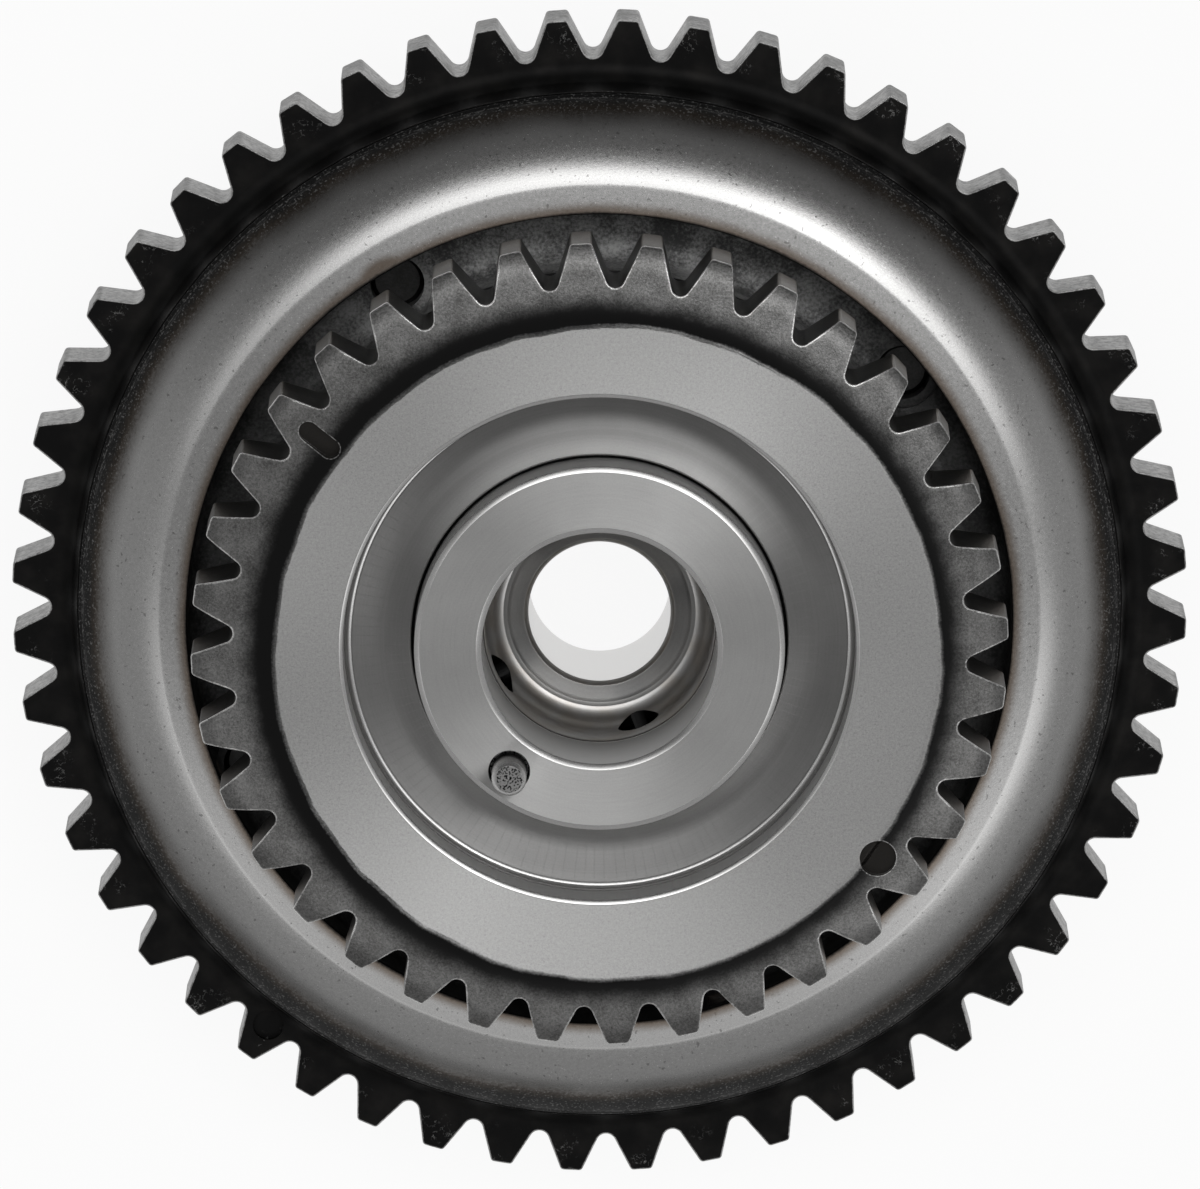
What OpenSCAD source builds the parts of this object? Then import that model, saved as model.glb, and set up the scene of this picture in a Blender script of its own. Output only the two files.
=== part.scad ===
// Cam phaser with a double sprocket for two toothed chains.
// Millimetres. The axis is Z, the camshaft side is up and the part lies on its cover bolts.

/* [Chain teeth] */
// Pitch of both chains
chain_pitch = 8; // [7.6:0.1:8.4]
// Teeth on the large rim
primary_teeth = 52; // [50:1:56]
// Teeth on the small rim
secondary_teeth = 36; // [35:1:38]
// Tip radius of the large rim beyond the pitch polygon
primary_tip_extra = 0.32; // [0:0.02:0.6]
// Tip radius of the small rim beyond the pitch polygon
secondary_tip_extra = -0.22; // [-0.4:0.02:0.2]
// Depth of the large teeth
primary_tooth_depth = 4.35; // [3.8:0.05:4.7]
// Depth of the small teeth
secondary_tooth_depth = 4.7; // [4.1:0.05:5]
// Width of a tooth tip
tip_land = 2.34; // [1.8:0.02:2.8]
// Rounding of the tip corners
tip_round = 0.45; // [0.2:0.05:0.6]
// Slope of a large tooth flank
primary_flank = 23.1; // [21:0.1:25]
// Slope of a small tooth flank
secondary_flank = 20; // [18:0.1:22]
// Angle of the marked tooth on both rims
tooth_reference = 232.6; // [0:0.1:360]

/* [Sprocket body] */
// Width of the large teeth
primary_width = 8; // [6:0.1:10]
// Height of the small rim's back above the large tooth face
secondary_offset = 17.5; // [15.5:0.1:20]
// Height of the small rim from its back to its ground face
secondary_height = 10.34; // [9.4:0.02:12]
// Drop of the small rim's face from ground face to tooth root
root_drop = 0.64; // [0.3:0.02:1]
// Drop of the small rim's face from tooth root to tip
tip_drop = 1.7; // [1:0.1:2.2]
// Width of the sloped band inside the small tooth roots
face_band = 3.2; // [2:0.1:4]
// Height of the shoulder's inner edge above the large tooth face
ring_rise = 11.8; // [10:0.1:13]
// Gap between small tooth tips and the shoulder's inner edge
ring_gap = 0.8; // [0.5:0.05:1.5]
// Height of the groove floor above the large tooth face
groove_rise = 4; // [2:0.1:6]
// Radial step from the small tooth roots down to the neck
neck_drop = 0.8; // [0.4:0.05:1.2]
// Rounding in the groove
groove_round = 2; // [0.5:0.1:2.6]
// Radial width of the step line from the shoulder's foot
step_in = 3.17; // [2.5:0.01:4]
// Height of the step line above the large tooth face
step_rise = 4.1; // [3:0.1:5]
// Radial width of the step line
step_width = 0.79; // [0.4:0.01:1.2]
// Height of the step line
step_height = 1.1; // [0.6:0.1:1.6]
// Bend of the shoulder from its foot to its inner edge
shoulder_bend = 44; // [30:1:50]
// Rounding at the shoulder's foot
foot_round = 2.4; // [1:0.1:2.8]
// Angle at which that rounding starts
foot_start = 200; // [190:1:215]
// Radius of the recess in the small rim's face
recess_r = 28.5; // [27:0.1:30]
// Depth of that recess
recess_depth = 5.5; // [4:0.1:6.5]
// Rounding at the recess floor
recess_round = 2; // [0.5:0.1:3]
// Depth of the relief in the front of the large rim
relief_depth = 3.5; // [1:0.1:4.5]
// Width of the large rim's front land inside the tooth roots
relief_land = 2.6; // [1.5:0.1:4]
// Width of the cover's land outside the cover
cover_land = 1.5; // [0.8:0.1:2.5]

/* [Timing marks] */
// Radius of the round mark on the large rim
primary_mark_r = 1.75; // [1:0.05:2.2]
// Radius of the round mark on the small rim
secondary_mark_r = 2.05; // [1.2:0.05:2.4]
// Length of the oval mark
oval_length = 5.2; // [3.5:0.1:6]
// Width of the oval mark
oval_width = 2.2; // [1.4:0.1:2.6]
// Radial step from the small tooth roots in to the marks
mark_inset = 1.75; // [1:0.05:2]
// Depth of the marks
mark_depth = 0.7; // [0.3:0.1:1]

/* [Vane chamber] */
// Height of the vane chamber
chamber_height = 20; // [16:0.1:23]
// Wall between the chamber and the neck
neck_wall = 3.5; // [2.5:0.1:4.5]
// Angle from one vane to the next
vane_step = 80; // [78:0.5:82]
// Angle of the first vane's clockwise edge
vane_start = 137; // [130:0.5:144]
// Angle that a narrow vane takes up
vane_angle = 20; // [16:0.5:22]
// Angle that the rotor turns
travel = 25; // [15:0.5:27]
// Free angle beyond each end of the travel
stop_gap = 0.8; // [0.5:0.1:1.2]
// Clearance of the vane tips and of the lobes
tip_gap = 0.35; // [0.3:0.01:0.5]
// Clearance of the seals
seal_gap = 0.1; // [0.06:0.01:0.2]
// Clearance of the rotor's flat sides
side_gap = 0.1; // [0.06:0.01:0.2]

/* [Rotor] */
// Radius of the hub in the sprocket
hub_r = 20.63; // [19.6:0.01:21.4]
// Radial clearance of the hub
hub_fit = 0.05; // [0.02:0.01:0.08]
// Step from the hub to the vane root
core_step = 1.4; // [1:0.1:2]
// Step from ground face down to the hub face
hub_drop = 0.65; // [0.3:0.05:1.5]
// Radius of the camshaft bore
bore_r = 13.1; // [12:0.05:13.6]
// Length of the camshaft bore
bore_length = 11.8; // [9:0.1:13]
// Step in the bore
bore_step = 0.2; // [0.1:0.05:0.5]
// Depth of the bore
bore_depth = 20.6; // [18:0.1:24]
// Rounding at the bore floor
bore_round = 3; // [1.5:0.1:4]
// Chamfer of the bore
bore_chamfer = 0.8; // [0.4:0.1:1.2]
// Radius of the bolt hole
bolt_hole_r = 8; // [6.5:0.1:8.4]
// Radius of the front boss
boss_r = 17; // [14:0.1:18.5]
// Height of the front boss above the cover's outer face
boss_back = 1; // [0.4:0.1:2]
// Radius of the oil holes
oil_hole_r = 2.4; // [1.5:0.1:2.4]
// Height of the oil holes above the bore floor
oil_hole_rise = 3.3; // [2.4:0.1:3.5]
// Angle of an oil hole from its vane's clockwise edge
oil_hole_angle = 6.8; // [6.6:0.1:9]
// Chamfer of turned edges
edge = 0.5; // [0.3:0.05:0.6]

/* [Camshaft dowel] */
// Radius of the dowel's seat
dowel_r = 2.15; // [1.8:0.05:2.3]
// Step from the seat to the dowel's free end
dowel_step = 0.2; // [0.16:0.01:0.3]
// Shift of the dowel outwards from the middle of the hub's face
dowel_shift = 0.235; // [0:0.005:0.6]
// Angle of the dowel
dowel_angle = 234; // [230:0.5:238]
// Free length of the dowel
dowel_free = 4.4; // [3:0.1:6]
// Seated length of the dowel
dowel_seat = 8; // [6:0.1:9]
// Radius added to the hole at its mouth
dowel_mouth = 0.15; // [0.1:0.05:0.3]
// Depth of that mouth
dowel_mouth_depth = 1.2; // [0.8:0.1:2]

/* [Seals] */
// Width of a seal strip
seal_width = 2.9; // [2:0.05:3.2]
// Radial height of a seal strip
seal_height = 3.1; // [2.4:0.1:3.6]
// Clearance of a strip in its slot
slot_gap = 0.05; // [0.02:0.01:0.1]
// Room for the spring behind a strip
spring_room = 1.2; // [0.8:0.1:1.6]
// Thickness of a leaf spring
leaf = 0.25; // [0.15:0.05:0.35]
// Width of a leaf spring
leaf_width = 2.2; // [1.4:0.1:2.4]
// Length of a leaf spring
leaf_length = 15; // [10:0.1:15.5]

/* [Lock pin] */
// Radius of the lock pin
pin_r = 4; // [3.2:0.05:4.3]
// Radial clearance of the lock pin
pin_fit = 0.03; // [0.02:0.01:0.05]
// Length of the lock pin
pin_length = 12; // [10:0.1:12.4]
// Way that the lock pin draws back
pin_travel = 2.5; // [1.5:0.1:2.9]
// Thickness of the pin's end
pin_end = 4; // [2.5:0.1:5]
// Radius of the pin's hollow
pin_hollow = 2.6; // [2.3:0.05:2.7]
// Chamfer of the pin's end
pin_chamfer = 0.6; // [0.3:0.1:1]
// Clearance of the pin in its seat
seat_gap = 0.15; // [0.1:0.01:0.3]
// Wall of the seat
seat_wall = 1.2; // [0.8:0.1:1.5]
// Height of the seat
seat_height = 5; // [3:0.1:6]
// Radial room around the retainer
retainer_lip = 0.6; // [0.4:0.05:1]
// Thickness of the retainer
retainer_height = 2; // [1.2:0.1:2.2]
// Radius of the vent in the retainer
vent_r = 1; // [0.6:0.05:1.2]
// Radius of the spring's wire
wire_r = 0.35; // [0.2:0.05:0.4]
// Radius of the spring's coil
coil_r = 1.9; // [1.7:0.05:2.1]
// Turns of the spring
coil_turns = 7; // [5:0.5:9]

/* [Cover] */
// Thickness of the cover
cover_height = 4; // [3:0.1:6]
// Clearance of the front boss in the cover
cover_gap = 0.3; // [0.25:0.01:0.5]
// Number of cover bolts
bolt_count = 4; // [3:1:4]
// Angle of the first cover bolt
bolt_start = 38.25; // [30:0.25:46]
// Angle from one cover bolt to the next
bolt_step = 83.25; // [80:0.25:90]
// Radius of a bolt's thread
bolt_r = 3; // [2.4:0.05:3.1]
// Clearance of the bolts in the cover
bolt_gap = 0.3; // [0.2:0.05:0.5]
// Clearance of the bolt threads
thread_gap = 0.05; // [0.02:0.01:0.1]
// Radius of a bolt's flange
flange_r = 5.8; // [5:0.1:6]
// Height of a bolt's flange
flange_height = 1.2; // [0.8:0.1:1.6]
// Height of a bolt's head
head_height = 4; // [3:0.1:5]
// Width of a bolt's head across flats
head_flats = 8; // [7:0.1:9]
// Radius of the run-out of the bolt holes in the groove
run_out_r = 4; // [3.5:0.1:4.2]
// Height of that run-out above the groove floor
run_out_height = 6.4; // [5:0.1:6.8]
// Depth of that run-out below the groove floor
run_out_depth = 0.4; // [0.2:0.1:1]
// Distance of the bolts' ends below the groove floor
bolt_short = 2.5; // [1:0.1:4]
// Radius of the cover dowels
cover_dowel_r = 2.5; // [1.5:0.05:2.6]
// Length of the cover dowels
cover_dowel_length = 8; // [6:0.1:9]
// Angle of the first cover dowel
cover_dowel_angle = 79.9; // [74:0.1:86]

/* [Hidden] */
$fn = 96;
arc_steps = 5;
corner_steps = 2;
shoulder_steps = 14;
coil_steps = 14;
wire_steps = 8;
over = 1;
vanes = 4;
wide = vanes - 1;
steel = [0.5, 0.5, 0.5];
dark = [0.25, 0.25, 0.26];
plastic = [0.15, 0.15, 0.15];

// Radii of the toothed rims and what follows them
primary_tip_r = chain_pitch / 2 / tan(180 / primary_teeth) + primary_tip_extra;
primary_root_r = primary_tip_r - primary_tooth_depth;
secondary_tip_r = chain_pitch / 2 / tan(180 / secondary_teeth) + secondary_tip_extra;
secondary_root_r = secondary_tip_r - secondary_tooth_depth;
ground_r = secondary_root_r - face_band;
neck_r = secondary_root_r - neck_drop;
ring_r = secondary_tip_r + ring_gap;
foot_r = primary_root_r - tip_gap;
step_r = primary_root_r - step_in;
bolt_circle = (neck_r + ring_r) / 2 + bolt_gap;
cover_r = bolt_circle + flange_r + bolt_gap;
relief_r = cover_r + cover_land;
rim_r = primary_root_r - relief_land;
chamber_r = neck_r - neck_wall;
bearing_r = hub_r + hub_fit;
core_r = hub_r + core_step;
dowel_circle = (bore_r + hub_r) / 2 + dowel_shift;
lobe_r = core_r + tip_gap;
vane_r = chamber_r - tip_gap;
pin_circle = (core_r + vane_r) / 2;

// Heights above the resting plane
cover_z = head_height;
front_z = cover_z + cover_height;
tooth_z = front_z + primary_width;
chamber_z = front_z + chamber_height;
groove_z = tooth_z + groove_rise;
ring_z = tooth_z + ring_rise;
step_z = tooth_z + step_rise;
back_z = tooth_z + secondary_offset;
ground_z = back_z + secondary_height;
root_z = ground_z - root_drop;
tip_z = root_z - tip_drop;
floor_z = ground_z - recess_depth;
hub_z = ground_z - hub_drop;
bore_z = hub_z - bore_depth;
bore_step_z = hub_z - bore_length;
boss_z = cover_z + boss_back;
vane_z = front_z + side_gap;
vane_top_z = chamber_z - side_gap;
pin_top_z = vane_top_z - side_gap;
pin_z = pin_top_z - pin_length;
retainer_z = vane_z + side_gap;
spring_z = retainer_z + retainer_height;
spring_top_z = pin_top_z - pin_end;

// Angles of the vanes and lobes
wide_angle = 360 - wide * vane_step - (vane_step - vane_angle);
function edge_angle(i) = vane_start + i * vane_step;
function width_angle(i) = i == wide ? wide_angle : vane_angle;
function vane_mid(i) = edge_angle(i) + (i == wide ? wide_angle - vane_angle / 2 : vane_angle / 2);
function chamber_from(i) = edge_angle(i) - stop_gap;
function chamber_to(i) = edge_angle(i) + width_angle(i) + travel + stop_gap;
function lobe_mid(i) = chamber_from(i) - (vane_step - vane_angle - travel - 2 * stop_gap) / 2;
pin_angle = edge_angle(wide) + wide_angle / 2 - vane_angle / 4;

// Plane curves
function turned(p, a) = [p.x * cos(a) - p.y * sin(a), p.x * sin(a) + p.y * cos(a)];
function arc(c, r, from, to, steps) =
    [for (i = [0:steps]) c + r * [cos(from + (to - from) * i / steps), sin(from + (to - from) * i / steps)]];
function wedge(r, from, to) =
    concat(arc([0, 0], core_r - core_step, from, to, arc_steps), arc([0, 0], 2 * r, to, from, arc_steps));

// Outline of a toothed rim: round tip corners, straight flanks and round roots
function tooth_outline(teeth, tip_r, root_r, flank) =
    let (half = 180 / teeth,
        corner = [sqrt(tip_r * tip_r - tip_land * tip_land / 4), tip_land / 2],
        gap = turned(corner, -half),
        slope = flank + half,
        apex = gap.x + gap.y / tan(slope),
        round_r = max(tip_round, (root_r - apex) / (1 / sin(slope) - 1)),
        root = arc([root_r + round_r, 0], round_r, 270 - slope, 90 + slope, arc_steps),
        inset = tip_round * tan((90 - flank) / 2),
        tip = [corner.x - tip_round, corner.y - inset],
        lower = arc([tip.x, -tip.y], tip_round, flank - 90, 0, corner_steps),
        upper = arc(tip, tip_round, 0, 90 - flank, corner_steps))
    [for (i = [0:teeth - 1])
        let (a = tooth_reference + 2 * half * i)
        for (p = concat([for (q = lower) turned(q, a)], [for (q = upper) turned(q, a)],
            [for (q = root) turned(q, a + half)])) p];

// Section of the sprocket: bore, recess, small rim, groove, shoulder, large rim and front
shoulder_from = [step_r - step_width, step_z + step_height];
shoulder_to = [ring_r, ring_z];
shoulder_chord = shoulder_from - shoulder_to;
shoulder_length = norm(shoulder_chord);
shoulder_r = shoulder_length / 2 / sin(shoulder_bend / 2);
shoulder_tilt = atan2(-shoulder_chord.y, shoulder_chord.x);
shoulder_mid = (shoulder_from + shoulder_to) / 2;
shoulder_centre = shoulder_mid - shoulder_r * cos(shoulder_bend / 2) * [sin(shoulder_tilt), cos(shoulder_tilt)];
sprocket_section = concat(
    [[bearing_r, front_z], [bearing_r, floor_z - edge], [bearing_r + edge, floor_z]],
    arc([recess_r - recess_round, floor_z + recess_round], recess_round, 270, 360, arc_steps),
    [[recess_r, ground_z - edge], [recess_r + edge, ground_z], [ground_r, ground_z]],
    [[secondary_root_r, root_z], [secondary_tip_r, tip_z]],
    [[secondary_tip_r, back_z + edge], [secondary_tip_r - edge, back_z], [neck_r, back_z]],
    arc([neck_r + groove_round, groove_z + groove_round], groove_round, 180, 270, arc_steps),
    arc([ring_r - groove_round, groove_z + groove_round], groove_round, 270, 360, arc_steps),
    arc(shoulder_centre, shoulder_r, 90 - shoulder_tilt + shoulder_bend / 2,
        90 - shoulder_tilt - shoulder_bend / 2, shoulder_steps),
    [[step_r, step_z]],
    arc([foot_r, tooth_z + foot_round], foot_round, foot_start, 270, arc_steps),
    [[primary_tip_r, tooth_z], [primary_tip_r, front_z], [rim_r, front_z]],
    [[rim_r - edge, front_z + relief_depth], [relief_r + edge, front_z + relief_depth], [relief_r, front_z]]);

module placed(r, a, z) {
    rotate([0, 0, a])
        translate([r, 0, z])
            children();
}

module tooth_cut(teeth, tip_r, root_r, flank, from_z, to_z) {
    translate([0, 0, from_z])
        difference() {
            cylinder(r = tip_r + over, h = to_z - from_z);
            translate([0, 0, -over])
                linear_extrude(to_z - from_z + 2 * over)
                    polygon(tooth_outline(teeth, tip_r, root_r, flank));
        }
}

module sector(r, from, to, z, h) {
    translate([0, 0, z])
        intersection() {
            cylinder(r = r, h = h);
            linear_extrude(h)
                polygon(wedge(r, from, to));
        }
}

module lobe_slot(i) {
    placed(core_r, lobe_mid(i), front_z - over)
        translate([0, -slot_width / 2, 0])
            cube([lobe_floor_r - core_r, slot_width, chamber_height + over]);
}

module chamber_cut() {
    placed(0, vane_mid(0), front_z - over)
        cylinder(r = lobe_r, h = chamber_height + over);
    for (i = [0:vanes - 1]) {
        sector(chamber_r, chamber_from(i), chamber_to(i), front_z - over, chamber_height + over);
        lobe_slot(i);
    }
}

module bolt_angles() {
    for (i = [0:bolt_count - 1])
        rotate([0, 0, bolt_start + bolt_step * i])
            translate([bolt_circle, 0, 0])
                children();
}

module cover_dowel_angles() {
    for (i = [0:1])
        placed(bolt_circle, cover_dowel_angle + 2 * bolt_step * i, 0)
            children();
}

mark_height = ground_z - root_z + mark_depth + over;

module marks() {
    placed(primary_root_r, tooth_reference, tooth_z - mark_depth)
        cylinder(r = primary_mark_r, h = step_rise + mark_depth);
    placed(secondary_root_r - mark_inset, tooth_reference + 90, root_z - mark_depth)
        cylinder(r = secondary_mark_r, h = mark_height);
    placed(secondary_root_r - mark_inset, tooth_reference - 90, root_z - mark_depth)
        oval_mark();
}

module oval_mark() {
    half_length = (oval_length - oval_width) / 2;
    for (side = [-1, 1])
        translate([side * half_length, 0, 0])
            cylinder(r = oval_width / 2, h = mark_height);
    translate([-half_length, -oval_width / 2, 0])
        cube([2 * half_length, oval_width, mark_height]);
}

module sprocket() {
    color(dark)
        difference() {
            rotate_extrude()
                polygon(sprocket_section);
            tooth_cut(primary_teeth, primary_tip_r, primary_root_r, primary_flank,
                front_z - over, tooth_z + over);
            tooth_cut(secondary_teeth, secondary_tip_r, secondary_root_r, secondary_flank,
                back_z - over, ground_z + over);
            chamber_cut();
            marks();
            bolt_angles() {
                translate([0, 0, front_z - over])
                    cylinder(r = bolt_r + thread_gap, h = groove_rise + primary_width + 2 * over);
                translate([0, 0, groove_z - run_out_depth])
                    cylinder(r = run_out_r, h = run_out_depth + run_out_height);
            }
            cover_dowel_angles()
                translate([0, 0, front_z - over])
                    cylinder(r = cover_dowel_r, h = cover_dowel_length / 2 + 2 * over);
            placed(pin_circle, pin_angle, chamber_z - over)
                cylinder(r = pin_r + seat_gap + seat_wall, h = seat_height + over);
        }
}

// Sections of the rotor
lower_r = bore_r - bore_step;
rotor_section = [[0, boss_z], [boss_r - edge, boss_z], [boss_r, boss_z + edge], [boss_r, vane_z],
    [core_r, vane_z], [core_r, vane_top_z], [hub_r, vane_top_z], [hub_r, hub_z - edge],
    [hub_r - edge, hub_z], [0, hub_z]];
bore_section = concat(
    [[0, boss_z - over], [bolt_hole_r + edge, boss_z - over], [bolt_hole_r + edge, boss_z]],
    [[bolt_hole_r, boss_z + edge], [bolt_hole_r, bore_z - edge], [bolt_hole_r + edge, bore_z]],
    arc([lower_r - bore_round, bore_z + bore_round], bore_round, 270, 360, arc_steps),
    [[lower_r, bore_step_z - bore_step], [bore_r, bore_step_z], [bore_r, hub_z - bore_chamfer]],
    [[bore_r + bore_chamfer, hub_z], [bore_r + bore_chamfer, hub_z + over], [0, hub_z + over]]);

// Sizes of the seal slots
seal_r = chamber_r - seal_gap;
seal_back_r = seal_r - seal_height;
slot_floor_r = seal_back_r - spring_room;
lobe_seal_r = core_r + seal_gap;
lobe_back_r = lobe_seal_r + seal_height;
lobe_floor_r = lobe_back_r + spring_room;
slot_width = seal_width + 2 * slot_gap;
seal_z = vane_z + side_gap;
seal_length = vane_top_z - vane_z - 2 * side_gap;
seal_mid_z = seal_z + seal_length / 2;

module vane_slot(i) {
    placed(slot_floor_r, vane_mid(i), vane_z - over)
        translate([0, -slot_width / 2, 0])
            cube([spring_room + seal_height + over, slot_width, chamber_height + 2 * over]);
}

module oil_hole(i) {
    placed(lower_r - bore_round, edge_angle(i) - oil_hole_angle, bore_z + oil_hole_rise)
        rotate([0, 90, 0])
            cylinder(r = oil_hole_r, h = core_r + over - lower_r + bore_round);
}

module rotor() {
    color(steel)
        difference() {
            union() {
                rotate_extrude()
                    polygon(rotor_section);
                for (i = [0:vanes - 1])
                    sector(vane_r, edge_angle(i), edge_angle(i) + width_angle(i), vane_z, vane_top_z - vane_z);
            }
            rotate_extrude()
                polygon(bore_section);
            for (i = [0:vanes - 1]) {
                vane_slot(i);
                oil_hole(i);
            }
            placed(pin_circle, pin_angle, vane_z - over)
                cylinder(r = pin_r + pin_fit, h = chamber_height + 2 * over);
            placed(pin_circle, pin_angle, vane_z - over)
                cylinder(r = pin_r + retainer_lip, h = spring_z - vane_z + over);
            placed(dowel_circle, dowel_angle, hub_z - dowel_seat)
                cylinder(r = dowel_r, h = dowel_seat + over);
            placed(dowel_circle, dowel_angle, hub_z - dowel_mouth_depth)
                cylinder(r = dowel_r + dowel_mouth, h = dowel_mouth_depth + over);
        }
}

module camshaft_dowel() {
    free_r = dowel_r - dowel_step;
    color(steel)
        placed(dowel_circle, dowel_angle, hub_z)
            rotate_extrude()
                polygon([[0, -dowel_seat], [dowel_r, -dowel_seat], [dowel_r, 0], [free_r, 0],
                    [free_r, dowel_free - edge], [free_r - edge, dowel_free], [0, dowel_free]]);
}

module front_cover() {
    hole_r = boss_r + cover_gap;
    color(steel)
        difference() {
            rotate_extrude()
                polygon([[hole_r + edge, cover_z], [cover_r - edge, cover_z], [cover_r, cover_z + edge],
                    [cover_r, front_z], [hole_r, front_z], [hole_r, cover_z + edge]]);
            bolt_angles()
                translate([0, 0, cover_z - over])
                    cylinder(r = bolt_r + bolt_gap, h = cover_height + 2 * over);
            cover_dowel_angles()
                translate([0, 0, cover_z - over])
                    cylinder(r = cover_dowel_r, h = cover_height + 2 * over);
        }
}

module cover_bolts() {
    color(dark)
        bolt_angles() {
            cylinder(r = head_flats / 2 / cos(30), h = head_height - flange_height, $fn = 6);
            translate([0, 0, head_height - flange_height])
                cylinder(r = flange_r, h = flange_height);
            translate([0, 0, head_height])
                cylinder(r = bolt_r, h = groove_z - bolt_short - cover_z);
        }
}

module cover_dowels() {
    color(steel)
        cover_dowel_angles()
            translate([0, 0, front_z - cover_dowel_length / 2])
                cylinder(r = cover_dowel_r, h = cover_dowel_length);
}

module lock_pin_seat() {
    inner_r = pin_r + seat_gap;
    color(dark)
        placed(pin_circle, pin_angle, chamber_z)
            difference() {
                cylinder(r = inner_r + seat_wall, h = seat_height);
                translate([0, 0, -over])
                    cylinder(r = inner_r, h = seat_height + 2 * over);
            }
}

module lock_pin() {
    color(steel)
        placed(pin_circle, pin_angle, pin_z)
            rotate_extrude()
                polygon([[pin_hollow, 0], [pin_r, 0], [pin_r, pin_length - pin_chamfer],
                    [pin_r - pin_chamfer, pin_length], [0, pin_length], [0, pin_length - pin_end],
                    [pin_hollow, pin_length - pin_end]]);
}

module lock_pin_retainer() {
    color(steel)
        placed(pin_circle, pin_angle, retainer_z)
            difference() {
                cylinder(r = pin_r + retainer_lip, h = retainer_height);
                translate([0, 0, -over])
                    cylinder(r = vent_r, h = retainer_height + 2 * over);
            }
}

// Coil of round wire, as rings of points along a helix
coil_rings = coil_turns * coil_steps;
coil_height = spring_top_z - spring_z - 2 * wire_r;
coil_points = [for (i = [0:coil_rings], j = [0:wire_steps - 1])
    let (a = 360 * i / coil_steps, b = 360 * j / wire_steps, r = coil_r + wire_r * cos(b))
    [r * cos(a), r * sin(a), wire_r + coil_height * i / coil_rings + wire_r * sin(b)]];
coil_sides = [for (i = [0:coil_rings - 1], j = [0:wire_steps - 1])
    let (k = (j + 1) % wire_steps, low = i * wire_steps, high = low + wire_steps)
    [low + j, high + j, high + k, low + k]];
coil_ends = [[for (j = [0:wire_steps - 1]) j],
    [for (j = [wire_steps - 1:-1:0]) coil_rings * wire_steps + j]];

module lock_pin_spring() {
    color(steel)
        placed(pin_circle, pin_angle, spring_z)
            polyhedron(coil_points, concat(coil_sides, coil_ends));
}

module vane_seal(i) {
    color(plastic)
        intersection() {
            translate([0, 0, seal_z])
                cylinder(r = seal_r, h = seal_length);
            placed(seal_back_r, vane_mid(i), seal_z)
                translate([0, -seal_width / 2, 0])
                    cube([seal_height + over, seal_width, seal_length]);
        }
}

module lobe_seal(i) {
    color(plastic)
        difference() {
            placed(core_r, lobe_mid(i), seal_z)
                translate([0, -seal_width / 2, 0])
                    cube([lobe_back_r - core_r, seal_width, seal_length]);
            translate([0, 0, seal_z - over])
                cylinder(r = lobe_seal_r, h = seal_length + 2 * over);
        }
}

// Bowed strip that spans the room behind a seal
leaf_rise = spring_room - leaf;
leaf_r = (leaf_length * leaf_length / 4 + leaf_rise * leaf_rise) / (2 * leaf_rise);
leaf_bend = asin(leaf_length / 2 / leaf_r);
leaf_centre = [leaf_rise - leaf_r, 0];
leaf_section = concat(arc(leaf_centre, leaf_r, -leaf_bend, leaf_bend, 2 * arc_steps),
    arc(leaf_centre, leaf_r + leaf, leaf_bend, -leaf_bend, 2 * arc_steps));

module leaf_spring() {
    color(steel)
        translate([0, leaf_width / 2, 0])
            rotate([90, 0, 0])
                linear_extrude(leaf_width)
                    polygon(leaf_section);
}

module vane_seal_spring(i) {
    placed(slot_floor_r, vane_mid(i), seal_mid_z)
        leaf_spring();
}

module lobe_seal_spring(i) {
    placed(lobe_floor_r, lobe_mid(i), seal_mid_z)
        rotate([0, 0, 180])
            leaf_spring();
}

sprocket();
front_cover();
cover_bolts();
cover_dowels();
lock_pin_seat();
rotor();
camshaft_dowel();
lock_pin();
lock_pin_spring();
lock_pin_retainer();
for (i = [0:vanes - 1]) {
    vane_seal(i);
    vane_seal_spring(i);
    lobe_seal(i);
    lobe_seal_spring(i);
}
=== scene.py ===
"""Cam phaser: the looks of its double sprocket, rotor, dowel, cover and bolts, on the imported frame."""
import math

import bmesh
import bpy
from mathutils import Matrix, Vector


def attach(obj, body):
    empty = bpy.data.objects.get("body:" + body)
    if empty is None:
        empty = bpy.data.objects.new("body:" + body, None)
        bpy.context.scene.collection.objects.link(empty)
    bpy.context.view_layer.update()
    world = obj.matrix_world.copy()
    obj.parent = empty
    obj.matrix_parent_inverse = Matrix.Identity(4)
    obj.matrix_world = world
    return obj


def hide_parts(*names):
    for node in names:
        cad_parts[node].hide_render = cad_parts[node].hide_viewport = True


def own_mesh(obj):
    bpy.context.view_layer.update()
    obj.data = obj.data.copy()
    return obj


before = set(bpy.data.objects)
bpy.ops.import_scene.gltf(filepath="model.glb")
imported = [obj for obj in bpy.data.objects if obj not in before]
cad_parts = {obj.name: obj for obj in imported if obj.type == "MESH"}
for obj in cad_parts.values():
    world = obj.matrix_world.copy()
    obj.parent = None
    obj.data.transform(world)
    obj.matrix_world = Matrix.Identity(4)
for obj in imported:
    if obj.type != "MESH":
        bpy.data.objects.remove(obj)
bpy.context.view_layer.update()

MM = 0.001

# Chain teeth, in millimetres as in the part's source
CHAIN_PITCH = 8.0
TIP_LAND = 2.34
TIP_ROUND = 0.45
TOOTH_REFERENCE = math.radians(232.6)

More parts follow.
